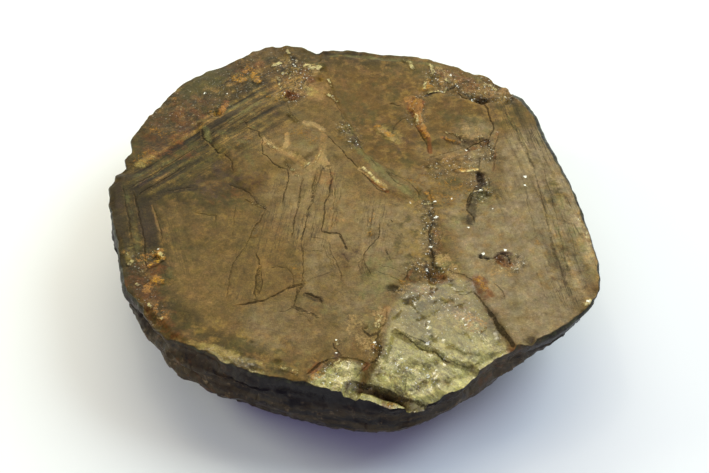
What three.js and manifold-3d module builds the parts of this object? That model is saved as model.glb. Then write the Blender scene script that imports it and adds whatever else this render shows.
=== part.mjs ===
// A rough sapphire: one thick tabular crystal with a hexagonal outline, a flat basal top face with
// growth terraces, cracks, pits and glassy chips, parted sides that turn under, and a flat rest face.
// Millimetres, +Z up. The outline is drawn about the middle of the top face; the finished stone is
// moved at the end so that its origin is at the middle of its box, on the rest face.
import * as THREE from 'three';
import { mergeVertices } from 'three/addons/utils/BufferGeometryUtils.js';
import Module from 'manifold-3d';

const wasm = await Module();
wasm.setup();

// Driving dimensions.
const thickness = 10.5;
const bevelDrop = 0.5;
const bevelWidth = { plain: 0.25, back: 0.95, right: 0.6 };
const terraceRise = 0.3;
const terraceFall = 0.35;
const chipWall = 1.0;
const above = 1.5;
const surface = new THREE.Color(0x8a7a55);

// The broken rim, anticlockwise from the left corner, at the widest section of the stone.
const rim = [
  [-26.7, 5.4], [-26.5, 2.8], [-26.0, 0.2], [-25.2, -2.8], [-24.7, -5.8], [-24.1, -8.6], [-23.1, -10.4],
  [-21.8, -12.2], [-20.6, -14.0], [-19.0, -15.8], [-16.4, -17.2], [-14.0, -18.8], [-11.2, -20.3],
  [-8.2, -21.1], [-5.0, -22.2], [-2.0, -23.1], [0.5, -24.2], [3.0, -25.5], [6.4, -25.0], [9.2, -23.7],
  [11.2, -21.7], [12.6, -19.6], [14.2, -18.4], [16.2, -17.8], [19.0, -16.4], [21.8, -14.2], [24.1, -11.6],
  [25.2, -9.3], [25.35, -5.7], [24.8, -2.1], [24.1, 1.9], [23.3, 5.7], [22.2, 8.9], [20.9, 13.1],
  [20.0, 16.7], [18.6, 19.6], [17.4, 20.3], [17.1, 21.2], [14.2, 23.5], [10.6, 25.1], [7.0, 26.4],
  [2.0, 27.0], [-2.2, 27.5], [-4.6, 27.1], [-6.2, 28.1], [-9.0, 28.6], [-11.4, 27.9], [-12.2, 26.9],
  [-15.2, 25.1], [-18.2, 23.4], [-20.4, 21.1], [-22.4, 17.7], [-24.0, 15.3], [-24.8, 12.5],
  [-24.6, 10.4], [-25.2, 9.7], [-24.9, 8.5], [-26.1, 7.3],
];

// The prism faces under the rim: bearing of each face's normal in degrees, and its distance.
// Six make the hexagon; the other three are its broken corners at the left and the near side.
const prismFaces = [
  [14, 23.9], [77, 27.0], [135, 29.2], [191, 25.9], [246, 23.7], [309, 24.6], [217, 25.0], [158, 27.6],
  [277, 26.0],
];
const cornerSharpness = 26;

// How the sides turn under, by bearing: how far in the rest face's edge lies, and how late they turn.
const sideTurns = [
  { bearing: 14, reach: 5.2, power: 1.9 },
  { bearing: 77, reach: 5.6, power: 1.8 },
  { bearing: 135, reach: 6.2, power: 1.9 },
  { bearing: 191, reach: 5.6, power: 2.2 },
  { bearing: 234, reach: 5.6, power: 3.1 },
  { bearing: 256, reach: 6.0, power: 2.6 },
  { bearing: 275, reach: 8.4, power: 1.5 },
  { bearing: 290, reach: 7.2, power: 2.0 },
  { bearing: 309, reach: 7.4, power: 2.2 },
];

// Parting planes: the depth of each section under the top face, and how far it steps in or out there.
const sections = [
  { depth: 1.5, step: 0.05 }, { depth: 2.2, step: 0.12 }, { depth: 2.3, step: -0.12 },
  { depth: 3.4, step: 0.1 }, { depth: 4.2, step: 0.0 }, { depth: 4.3, step: 0.3 },
  { depth: 5.6, step: 0.2 }, { depth: 6.7, step: 0.1 }, { depth: 6.8, step: 0.45 },
  { depth: 8.2, step: 0.15 }, { depth: 9.4, step: 0.0 },
];

const radians = THREE.MathUtils.degToRad;
const turn = 2 * Math.PI;

function closedSolid(vertices, triangles) {
  const vertProperties = new Float32Array(vertices.flat());
  const triVerts = new Uint32Array(triangles.flat());
  return new wasm.Manifold(new wasm.Mesh({ numProp: 3, vertProperties, triVerts }));
}

function prismRadius(angle) {
  // Distance to the rounded hexagon: the straight faces blended by a high power mean.
  const sum = prismFaces.reduce((total, [bearing, distance]) => {
    const facing = Math.cos(angle - radians(bearing)) / distance;
    return total + Math.max(0, facing) ** cornerSharpness;
  }, 0);
  return sum ** (-1 / cornerSharpness);
}

function sideTurn(angle) {
  // Weighted mean of the named turns, by closeness in bearing.
  let weight = 0;
  let reach = 0;
  let power = 0;
  for (const side of sideTurns) {
    const closeness = Math.exp(18 * (Math.cos(angle - radians(side.bearing)) - 1));
    weight += closeness;
    reach += closeness * side.reach;
    power += closeness * side.power;
  }
  return { reach: reach / weight, power: power / weight };
}

function rimBevel(angle) {
  const back = Math.max(0, Math.cos(angle - radians(77))) ** 3;
  const right = Math.max(0, Math.cos(angle - radians(10))) ** 4;
  return bevelWidth.plain + back * (bevelWidth.back - bevelWidth.plain) + right * (bevelWidth.right - bevelWidth.plain);
}

function brokenness(angle, depth) {
  // Uneven breakage of the sides, strongest at the near left corner.
  const corner = Math.exp(-(((angle - radians(222)) / radians(22)) ** 2));
  const wave = Math.sin(7 * angle + 2.1 * depth) + 0.7 * Math.sin(17 * angle - 1.3 * depth + 1);
  const teeth = Math.sin(31 * angle + 4.3 * depth);
  return (0.12 + 0.28 * corner) * wave + (0.06 + 0.12 * corner) * teeth;
}

function sectionPoint([x, y], depth, step) {
  const angle = (Math.atan2(y, x) + turn) % turn;
  const { reach, power } = sideTurn(angle);
  const settle = Math.min(1, depth / 5);
  const outline = THREE.MathUtils.lerp(Math.hypot(x, y), prismRadius(angle), settle * settle);
  const inset = reach * (depth / thickness) ** power;
  const rough = Math.min(1, depth / 2) * brokenness(angle, depth);
  const radius = outline - inset - step + rough;
  return [radius * Math.cos(angle), radius * Math.sin(angle), -depth];
}

function topPoint([x, y]) {
  const radius = Math.hypot(x, y);
  const inner = 1 - rimBevel(Math.atan2(y, x)) / radius;
  return [x * inner, y * inner, 0];
}

function basePoint([x, y]) {
  const angle = (Math.atan2(y, x) + turn) % turn;
  const radius = prismRadius(angle) - sideTurn(angle).reach - 0.35;
  return [radius * Math.cos(angle), radius * Math.sin(angle), -thickness];
}

function crystalPlate() {
  // Sections joined by triangles, one after another down the sides, between two flat caps.
  const rings = [
    rim.map(topPoint),
    rim.map(([x, y]) => [x, y, -bevelDrop]),
    ...sections.map(({ depth, step }) => rim.map((point) => sectionPoint(point, depth, step))),
    rim.map(basePoint),
  ];
  const count = rim.length;
  const vertices = rings.flat();
  const triangles = [];
  for (let ring = 0; ring < rings.length - 1; ring += 1) {
    for (let i = 0; i < count; i += 1) {
      const a = ring * count + i;
      const b = ring * count + (i + 1) % count;
      triangles.push([a, a + count, b + count], [a, b + count, b]);
    }
  }
  const flat = (ring) => ring.map(([x, y]) => new THREE.Vector2(x, y));
  const last = (rings.length - 1) * count;
  for (const [a, b, c] of THREE.ShapeUtils.triangulateShape(flat(rings[0]), [])) {
    triangles.push([a, b, c]);
  }
  for (const [a, b, c] of THREE.ShapeUtils.triangulateShape(flat(rings.at(-1)), [])) {
    triangles.push([last + a, last + c, last + b]);
  }
  return closedSolid(vertices, triangles);
}

function relief(outline, cap, middle) {
  // A block between an uneven face, given by the outline's [x, y, z] points, and a flat cap at z = cap.
  // With a middle point the face is a dish or a mound of facets around it.
  const anticlockwise = THREE.ShapeUtils.area(outline.map(([x, y]) => new THREE.Vector2(x, y))) > 0;
  const edge = anticlockwise ? outline : [...outline].reverse();
  const count = edge.length;
  const face = middle ? [...edge, middle] : edge;
  const vertices = [...face, ...face.map(([x, y]) => [x, y, cap])];
  const shift = face.length;
  const flatFaces = middle
    ? edge.map((_, i) => [i, (i + 1) % count, count])
    : THREE.ShapeUtils.triangulateShape(edge.map(([x, y]) => new THREE.Vector2(x, y)), []);
  const triangles = [];
  for (const [a, b, c] of flatFaces) {
    triangles.push([a, c, b], [a + shift, b + shift, c + shift]);
  }
  for (let i = 0; i < count; i += 1) {
    const j = (i + 1) % count;
    triangles.push([i, j, j + shift], [i, j + shift, i + shift]);
  }
  const capIsBelow = cap < edge[0][2];
  return closedSolid(vertices, capIsBelow ? triangles.map(([a, b, c]) => [a, c, b]) : triangles);
}

function groove(path, width, depth, level = 0) {
  // A crack: a V-shaped cut along a path, running out to nothing at both ends.
  const lift = 0.6;
  const half = (width / 2) * (1 + lift / depth);
  const points = path.map(([x, y]) => new THREE.Vector2(x, y));
  const vertices = [[points[0].x, points[0].y, level + lift]];
  for (let i = 1; i < points.length - 1; i += 1) {
    const along = points[i + 1].clone().sub(points[i - 1]).normalize();
    const { x, y } = points[i];
    vertices.push([x - along.y * half, y + along.x * half, level + lift]);
    vertices.push([x, y, level - depth]);
    vertices.push([x + along.y * half, y - along.x * half, level + lift]);
  }
  const end = vertices.length;
  vertices.push([points.at(-1).x, points.at(-1).y, level + lift]);
  const triangles = [];
  for (let side = 0; side < 3; side += 1) {
    const next = (side + 1) % 3;
    triangles.push([0, 1 + side, 1 + next]);
    for (let i = 1; i + 3 < end; i += 3) {
      triangles.push([i + side, i + 3 + side, i + 3 + next], [i + side, i + 3 + next, i + next]);
    }
    triangles.push([end - 3 + next, end - 3 + side, end]);
  }
  return closedSolid(vertices, triangles);
}

function pit([x, y], radius, depth, level = 0, sides = 7) {
  // A small cavity: an uneven polygon falling to an off-centre point.
  const edge = Array.from({ length: sides }, (_, i) => {
    const angle = (turn * i) / sides + x;
    const reach = radius * (1 + 0.25 * Math.sin(3 * angle + y));
    return [x + reach * Math.cos(angle), y + reach * Math.sin(angle), level + 0.02];
  });
  return relief(edge, level + above, [x + radius * 0.15, y + radius * 0.2, level - depth]);
}

function atLevel(points, z) {
  return points.map(([x, y]) => [x, y, z]);
}

// Terraces that stand above the main top face.
function raisedTerraces() {
  const foot = -1;
  const upperStep = [
    [-17.2, 15.2], [-16.6, 13], [-15.4, 11], [-14.1, 9.8], [-13.5, 8.1], [-13.2, 6.6], [-11.6, 4.6],
    [-10.3, 6.4], [-9.3, 8.5], [-7.6, 7.9], [-6.4, 9.6], [-5.3, 8.2], [-4.6, 7.2], [-3.4, 7.4], [-2.8, 8.8],
    [-1.2, 10.4], [-3.1, 13.2], [-6.5, 16.5], [-9.5, 18.6], [-13.5, 17],
  ];
  const tongue = [
    [-2.9, 13.1, 0.2], [-0.8, 10.1, 0.25], [0.3, 8.9, 0.42], [3.3, 4.6, 0.5], [5, 3.6, 0.2], [6.8, 3.6, 0.15],
    [6.4, 5.1, 0.5], [4.2, 7.2, 0.48], [0.9, 10.3, 0.45], [-0.9, 15, 0.4], [-2.2, 18.3, 0.35], [-3.6, 16.4, 0.3],
  ];
  return [
    relief(atLevel(upperStep, terraceRise), foot),
    relief(atLevel([[-9, 11.8], [-7.8, 10.8], [-5.6, 9.2], [-4.2, 10.6], [-3.2, 12.9], [-7, 15.6]], 0.5), foot),
    relief(tongue, foot),
    relief(atLevel([[11.4, 13.2], [12.2, 12.3], [14.3, 12.3], [14.7, 14], [14.3, 15.9], [12, 16.1]], 0.22), foot),
  ];
}

// Areas that lie below the main top face: the broken upper corner and the smooth far plateau.
function loweredTerraces() {
  const brokenCorner = [
    [-26.5, 7.6, -0.5], [-22.4, 6.6, -0.25], [-19.4, 8.8, -0.2], [-17.6, 11.8, -0.35], [-17.4, 15.4, -0.4],
    [-13.8, 17.6, -0.3], [-9.8, 19.4, -0.2], [-8.2, 21, -0.5], [-7.6, 24.4, -0.9], [-9, 31, -1.6], [-20, 29, -1.9],
    [-29, 18, -1.6],
  ];
  const farPlateau = [
    [-4.4, 29.5], [-3.4, 23.8], [-2.1, 18.8], [-0.5, 14.2], [0.9, 10.6], [4.3, 7.5], [6.7, 5.6], [7.4, 9.4],
    [8, 11.6], [7.2, 14.6], [6.2, 17.4], [6.4, 19.6], [8, 21.6], [9, 29],
  ];
  const nearGround = [
    [6.8, 5.4, -0.35], [7.1, 3.4, -0.25], [9.4, 1.2, -0.1], [12, 2, -0.2], [12.8, 6, -0.3], [14.6, 9.4, -0.3],
    [14.3, 12, -0.35], [10.4, 12.6, -0.35], [8, 11.4, -0.35], [7.4, 8.4, -0.4],
  ];
  return [
    relief(brokenCorner, above),
    relief(atLevel(farPlateau, -terraceFall), above),
    relief(nearGround, above),
    relief([[8.2, 21.8, -0.2], [9.6, 20.2, -0.5], [13, 19.2, -0.8], [15.4, 18.5, -0.6], [17.1, 19.4, -0.9],
      [19, 22, -1.5], [15, 27, -1.5], [8.8, 28, -0.9]], above),
    relief([[-9.4, 25.4, -0.5], [-6.4, 24.6, -0.9], [-4, 25.6, -0.7], [-4.2, 29.6, -1.1], [-9.6, 29.8, -0.9]], above),
  ];
}

// The large glassy chip at the near edge: a dish of facets with a wall along its right side.
function mainChip() {
  const edge = [
    [3, -12, 0.02], [4.3, -9.8, 0.02], [5.6, -8.1, -0.1], [8.1, -8, -0.3], [10.4, -7.1, -0.15], [12, -8.2, -0.4],
    [12.9, -10.4, -0.7], [13.9, -12.8, -chipWall], [14.8, -15.4, -chipWall], [15.8, -17.6, -chipWall],
    [17, -21, -1.3], [10.6, -27, -2.4], [7.4, -24.4, -2.0], [4.6, -22.8, -1.6], [0.2, -21.6, -1.0],
    [1.6, -19.4, -0.5], [2.2, -16.6, -0.25], [2.4, -14.6, -0.1],
  ];
  const lowerShell = [
    [3.6, -15.4, -0.6], [6, -16.8, -0.95], [8, -18, -1.1], [10, -19.6, -1.25], [12.2, -19.6, -1.3],
    [13, -23, -2.4], [7.6, -24.8, -2.3], [4.4, -22.8, -1.8], [2.6, -19, -1.0],
  ];
  return [
    relief(edge, above, [8.6, -14.4, -0.85]),
    relief(lowerShell, above, [7.4, -20.6, -1.65]),
  ];
}

// Smaller chips along the near rim.
function rimChips() {
  const orangeEnd = [
    [-4.9, -21.1, 0.02], [-4.1, -19.9, 0.02], [-2.6, -18.7, 0.02], [-0.3, -18.6, 0.02], [1.2, -19.3, -0.1],
    [0.4, -21.4, -0.9], [-0.8, -25, -1.7], [-5.8, -24.6, 0.02],
  ];
  const nearStrip = [
    [-1.6, -22.2, -0.9], [2, -22.4, -1.35], [5, -22.9, -1.8], [8.2, -24, -2.1], [10.6, -25.8, -2.0],
    [5, -28.6, -3.1], [-2.6, -25.8, -1.5],
  ];
  const yellowBevel = [
    [-17.4, -16.8, 0.02], [-13.6, -17, 0.02], [-9.6, -18.8, 0.02], [-8.4, -22.4, 0.02], [-12.6, -21.8, -1.5],
    [-16.4, -19.6, -1.3],
  ];
  return [
    relief(orangeEnd, above, [-1.9, -20.6, -0.75]),
    relief(nearStrip, above),
    relief(yellowBevel, above),
    relief([[16.2, -16.4, 0.02], [17.4, -15.8, 0.02], [18.6, -16.4, 0.02], [18.4, -18.4, -0.9], [16, -19.4, -1.2]], above),
    relief([[-21.4, -11.8, 0.02], [-18.2, -15.4, 0.02], [-18.4, -18.2, -1.1], [-23.4, -13.4, -1.1]], above),
  ];
}

// Cracks that part the top face.
function cracks() {
  return [
    groove([[6.9, 4.4], [7.1, 2.8], [7.7, 1.2], [7.7, -1.5], [7.7, -3.4], [8.1, -4.8], [7.8, -6.8], [8.3, -8]], 0.9, 0.55),
    groove([[14, 19.4], [14.5, 17.6], [14.7, 15.7], [15.2, 14.4], [14.7, 12.6], [14.8, 10.4], [14.9, 8]], 0.55, 0.5),
    groove([[7.4, 20], [6.7, 18.4], [6.4, 16.4], [6.8, 14.6], [7.7, 12.2], [8.1, 10]], 1.1, 0.5, -terraceFall),
    groove([[13.5, 9.2], [13.2, 7.4], [12.8, 6], [12.1, 4.2], [11.6, 1.8], [12.4, -0.4]], 0.6, 0.5, -0.2),
    groove([[-12.4, -11.8], [-10, -10.8], [-7, -9.3], [-5.2, -8.3], [-2.3, -6.5]], 0.35, 0.3),
    groove([[-6.1, -8.8], [-6.4, -11.8], [-5, -12.5], [-3.6, -13.5]], 0.4, 0.3),
    groove([[-3.6, -0.6], [-3.3, -1.4], [-1.7, -1.5], [-1.3, -2.6], [-0.9, -3.9], [-1.1, -5.2]], 0.35, 0.3),
    groove([[2, -12.2], [2.5, -14.6], [2.2, -17], [1.5, -19.5], [0, -21.4]], 0.45, 0.5, -0.2),
    groove([[12.4, -4.8], [14, -5.2], [15.3, -4.4], [16.5, -4.9], [17.2, -6.2]], 0.7, 0.35),
    groove([[-3.2, -18.9], [-2.2, -18.1], [-2.4, -16.2]], 0.3, 0.25),
    groove([[11, 12.6], [12.2, 11.9], [14.8, 12]], 0.4, 0.5, -0.2),
  ];
}

// Cavities left where small inclusions or flakes broke out.
function pits() {
  return [
    pit([13.8, 19], 0.9, 0.9, -0.3),
    pit([8.1, -7.5], 1.0, 0.8, -0.2),
    pit([13.3, 7], 0.6, 0.7, -0.3),
    pit([4, -9.4], 0.45, 0.5),
    pit([-7.5, 19.6], 0.75, 0.5, -0.3),
    pit([-4.3, 22.2], 0.45, 0.5, -0.2),
    pit([5.2, -24.3], 0.45, 0.5, -1.8),
    pit([15.6, -5.6], 0.8, 0.4),
    pit([-7.9, -19], 0.45, 0.35),
    pit([-15.6, 16.8], 0.7, 0.5, -0.1),
    pit([-20.6, -5], 0.5, 0.35),
    pit([13.6, 3.6], 0.9, 0.35, -0.2),
  ];
}

// Shells and steps broken from the underside, around the flat rest face.
function undersideBreaks() {
  const floor = -thickness;
  const below = -thickness - 2;
  return [
    relief([[-22, -6, floor + 2.2], [-15.5, -2, floor - 0.02], [-14, -8, floor - 0.02], [-13, -14.5, floor - 0.02],
      [-18, -18, floor + 2.2], [-23, -13, floor + 2.6]], below, [-18.4, -9.6, floor + 1.1]),
    relief([[7, -19.5, floor + 1.8], [8, -13, floor - 0.02], [13, -9.5, floor - 0.02], [19.5, -11, floor + 2.2],
      [17, -18, floor + 2.6]], below, [13, -14.4, floor + 0.9]),
    relief([[10, 23.5, floor + 2.0], [4, 17, floor - 0.02], [8, 13.5, floor - 0.02], [14.5, 10, floor - 0.02],
      [20.5, 13, floor + 2.2], [18, 20, floor + 2.4]], below, [12.4, 17, floor + 0.8]),
    relief([[-16, 25, floor + 2.2], [-9, 19, floor - 0.02], [-11, 15.5, floor - 0.02], [-16.5, 13, floor - 0.02],
      [-23, 16, floor + 2.2]], below, [-15.6, 18.4, floor + 0.8]),
  ];
}

function broughtTogether() {
  let stone = crystalPlate();
  const join = (other) => { stone = stone.add(other); };
  const cut = (other) => { stone = stone.subtract(other); };
  loweredTerraces().forEach(cut);
  raisedTerraces().forEach(join);
  mainChip().forEach(cut);
  rimChips().forEach(cut);
  cracks().forEach(cut);
  pits().forEach(cut);
  undersideBreaks().forEach(cut);
  return stone;
}

function toGeometry(solid) {
  const mesh = solid.getMesh();
  const position = Float32Array.from({ length: mesh.numVert * 3 }, (_, i) => (
    mesh.vertProperties[Math.floor(i / 3) * mesh.numProp + (i % 3)]
  ));
  const geometry = new THREE.BufferGeometry();
  geometry.setAttribute('position', new THREE.BufferAttribute(position, 3));
  geometry.setIndex(new THREE.BufferAttribute(new Uint32Array(mesh.triVerts), 1));
  return mergeVertices(geometry, 1e-4);
}

function sapphireCrystal() {
  const geometry = toGeometry(broughtTogether());
  geometry.computeBoundingBox();
  const { min, max } = geometry.boundingBox;
  geometry.translate(-(min.x + max.x) / 2, -(min.y + max.y) / 2, -min.z);
  geometry.computeVertexNormals();
  const material = new THREE.MeshStandardMaterial({ color: surface, roughness: 0.45, metalness: 0 });
  const crystal = new THREE.Mesh(geometry, material);
  crystal.name = 'sapphire_crystal';
  return crystal;
}

const stone = new THREE.Group();
stone.add(sapphireCrystal());

export default stone;
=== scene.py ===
import math

import bpy
import numpy as np
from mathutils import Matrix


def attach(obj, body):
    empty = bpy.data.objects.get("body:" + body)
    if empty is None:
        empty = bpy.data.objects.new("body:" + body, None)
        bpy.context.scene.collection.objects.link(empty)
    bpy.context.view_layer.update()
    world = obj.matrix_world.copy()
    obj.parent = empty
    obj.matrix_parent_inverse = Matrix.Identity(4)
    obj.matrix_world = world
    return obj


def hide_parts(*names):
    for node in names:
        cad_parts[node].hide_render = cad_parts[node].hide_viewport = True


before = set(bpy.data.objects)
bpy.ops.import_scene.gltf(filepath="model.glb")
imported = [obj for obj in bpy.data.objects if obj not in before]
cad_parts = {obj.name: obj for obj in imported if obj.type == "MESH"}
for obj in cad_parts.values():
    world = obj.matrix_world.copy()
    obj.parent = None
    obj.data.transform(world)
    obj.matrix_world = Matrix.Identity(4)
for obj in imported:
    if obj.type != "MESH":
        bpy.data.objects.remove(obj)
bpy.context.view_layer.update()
millimetre = 0.001
fullTurn = 2 * math.pi
farAway = 9.0  # millimetres, further than a crack is seen

# The camera comes first, because everything else is judged through it. Metres and degrees.
view = {"position": (0.00045, -0.14327, 0.16022), "elevation": 47.0, "lens": 99.0}

cameraData = bpy.data.cameras.new("camera")
cameraData.lens = view["lens"]
cameraData.clip_start = 0.01
camera = bpy.data.objects.new("camera", cameraData)
camera.location = view["position"]
camera.rotation_euler = (math.radians(90 - view["elevation"]), 0, 0)
bpy.context.scene.collection.objects.link(camera)
bpy.context.scene.camera = camera
print("camera set")

# The stone's form. Lengths are millimetres, drawn about the middle of the top face with z = 0 on that face;
# shift carries the drawing to the frame's origin, which is the middle of the rest face.
crystal = {
    "shift": (0.662, -1.625, 10.5),
    "thickness": 10.5,
    "bevelDrop": 0.5,
    "bevelPlain": 0.25,
    "bevelBack": 0.95,
    "bevelRight": 0.6,
    "backBearing": 77,
    "rightBearing": 10,
    "cornerSharpness": 26,
    "topCells": 264,
    "drawnDown": 3.4,
    "rimPlain": 0.09,
    "breakRing": 26,
    "farSwell": 0.4,
    "turnCloseness": 18,
    "prismDepth": 5,
    "baseMargin": 0.35,
    "sharpAngle": 50,
    "sideRows": [0.1, 0.26, 0.5, 0.8, 1.15, 1.55, 1.9, 2.14, 2.24, 2.34, 2.7, 3.1, 3.6, 4.05, 4.22, 4.4],
    "lowRows": [4.9, 5.5, 6.1, 6.65, 6.85, 7.5, 8.2, 8.9, 9.5, 10.0, 10.3],
}

# The broken rim, anticlockwise from the left corner.
rim = [
    (-26.7, 5.4), (-26.5, 2.8), (-26, 0.2), (-25.2, -2.8), (-24.7, -5.8), (-24.1, -8.6), (-23.1, -10.4),
    (-21.8, -12.2), (-20.6, -14), (-19, -15.8), (-16.4, -17.2), (-14, -18.5), (-11.2, -20), (-8.2, -21.1),
    (-5.4, -21.6), (-3.7, -21.9), (-1.2, -22.2), (0.5, -22.6), (2, -22.9), (3.4, -23.4), (5.2, -22.9),
    (7.2, -22.6), (8.9, -22), (10.6, -21.2), (11.3, -20.4), (12.4, -19.1), (13.8, -17.8), (15.6, -17.2),
    (18.5, -16.1), (20.5, -15), (22.1, -13.7), (24.1, -11.6), (25.2, -9.3), (25.35, -5.7), (24.8, -2.1),
    (24.1, 1.9), (23.3, 5.7), (22.2, 8.9), (20.9, 13.1), (20, 16.7), (18.6, 19.6), (17.4, 20.3), (17.1, 21.2),
    (14.2, 23.5), (10.6, 25.1), (7, 26.4), (2, 27), (-2.2, 27.5), (-4.6, 27.1), (-6.2, 28.1), (-9, 28.6),
    (-11.4, 27.9), (-12.2, 26.9), (-15.2, 25.1), (-18.2, 23.4), (-20.4, 21.1), (-22.4, 17.7), (-24, 15.3),
    (-24.8, 12.5), (-24.6, 10.4), (-25.2, 9.7), (-24.9, 8.5), (-26.1, 7.3),
]

# Small breaks of the rim: how much they add, at which bearing, over how many degrees.
rimBreaks = [(0.2, 140, 24), (0.12, 52, 14), (0.12, 225, 16)]

# Prism faces under the rim, by the bearing of their normals and their distance out.
prismFaces = [(14, 23.9), (77, 27.0), (135, 29.2), (191, 25.9), (246, 23.7), (309, 24.0), (217, 25.2),
              (158, 27.6), (277, 26.1), (338, 24.6)]

# How the sides turn under, by bearing: how far in the rest face's edge lies, and how late they turn.
sideTurns = [(14, 5.2, 1.9), (77, 5.6, 1.8), (135, 6.2, 1.9), (191, 5.6, 2.2), (234, 5.6, 3.1),
             (256, 6.0, 2.6), (275, 8.2, 1.6), (290, 6.8, 2.2), (309, 7.2, 2.3), (338, 7.6, 1.3)]

# Parting planes: depth, and the step in (or out, below zero) that the side makes there.
partings = [(0.5, 0.0), (1.5, 0.05), (2.2, 0.12), (2.3, -0.12), (3.4, 0.1), (4.2, 0.0), (4.3, 0.3),
            (5.6, 0.2), (6.7, 0.1), (6.8, 0.45), (8.2, 0.15), (9.4, 0.0), (10.5, 0.35)]

# Areas of the top face that lie below it. Each corner has its own height; a middle makes a dish of it.
lowered = [
    {"corners": [(-26.5, 7.6, -0.4), (-22.4, 6.6, -0.12), (-19.4, 8.8, -0.1), (-17.6, 11.8, -0.14),
                 (-17.4, 15.4, -0.2), (-13.8, 17.6, -0.14), (-9.8, 19.4, -0.1), (-8.2, 21, -0.3),
                 (-7.6, 24.4, -0.6), (-9, 31, -0.85), (-20, 29, -0.95), (-29, 18, -0.85)], "ramp": 1.2},
    {"corners": [(-4.4, 29.5, -0.35), (-3.4, 23.8, -0.35), (-2.1, 18.8, -0.35), (-0.5, 14.2, -0.35),
                 (0.9, 10.6, -0.35), (4.3, 7.5, -0.35), (6.7, 5.6, -0.35), (7.4, 9.4, -0.35),
                 (8, 11.6, -0.35), (7.2, 14.6, -0.35), (6.2, 17.4, -0.35), (6.4, 19.6, -0.35),
                 (8, 21.6, -0.35), (9, 29, -0.35)], "ramp": 0.9},
    {"corners": [(6.8, 5.4, -0.35), (7.1, 3.4, -0.25), (9.4, 1.2, -0.1), (12, 2, -0.2), (12.8, 6, -0.3),
                 (14.6, 9.4, -0.3), (14.3, 12, -0.35), (10.4, 12.6, -0.35), (8, 11.4, -0.35),
                 (7.4, 8.4, -0.4)], "ramp": 1.4},
    {"corners": [(8.2, 21.8, -0.2), (9.6, 20.2, -0.4), (13, 19.2, -0.6), (15.4, 18.5, -0.4),
                 (17.1, 19.4, -0.5), (19, 22, -0.8), (15, 27, -0.8), (8.8, 28, -0.6)], "ramp": 0.6},
    {"corners": [(-9.4, 25.4, -0.4), (-6.4, 24.6, -0.7), (-4, 25.6, -0.5), (-4.2, 29.6, -0.7),
                 (-9.6, 29.8, -0.6)], "ramp": 0.5},
]

# Terraces that stand above it.
raised = [
    {"corners": [(-17.2, 15.2, 0.3), (-16.6, 13, 0.3), (-15.4, 11, 0.3), (-14.1, 9.8, 0.3), (-13.5, 8.1, 0.3),
                 (-13.2, 6.6, 0.22), (-11.6, 4.6, 0.2), (-10.3, 6.4, 0.26), (-9.3, 8.5, 0.3),
                 (-7.6, 7.9, 0.3), (-6.4, 9.6, 0.3), (-5.3, 8.2, 0.28), (-4.6, 7.2, 0.2), (-3.4, 7.4, 0.2),
                 (-2.8, 8.8, 0.28), (-1.2, 10.4, 0.3), (-3.1, 13.2, 0.3), (-6.5, 16.5, 0.3),
                 (-9.5, 18.6, 0.3), (-13.5, 17, 0.3)], "ramp": 1.4},
    {"corners": [(-9, 11.8, 0.3), (-7.8, 10.8, 0.3), (-5.6, 9.2, 0.32), (-4.2, 10.6, 0.32), (-3.2, 12.9, 0.3),
                 (-7, 15.6, 0.25)], "ramp": 0.5},
    {"corners": [(-2.9, 13.1, 0.04), (-0.8, 10.1, 0.06), (0.3, 8.9, 0.1), (3.3, 4.6, 0.12), (5, 3.6, 0.06),
                 (6.8, 3.6, 0.04), (6.4, 5.1, 0.12), (4.2, 7.2, 0.1), (0.9, 10.3, 0.08), (-0.9, 15, 0.06),
                 (-2.2, 18.3, 0.05), (-3.6, 16.4, 0.04)], "ramp": 0.3},
    {"corners": [(11.4, 13.2, 0.22), (12.2, 12.3, 0.22), (14.3, 12.3, 0.22), (14.7, 14, 0.22),
                 (14.3, 15.9, 0.15), (12, 16.1, 0.12)], "ramp": 0.6},
]

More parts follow.
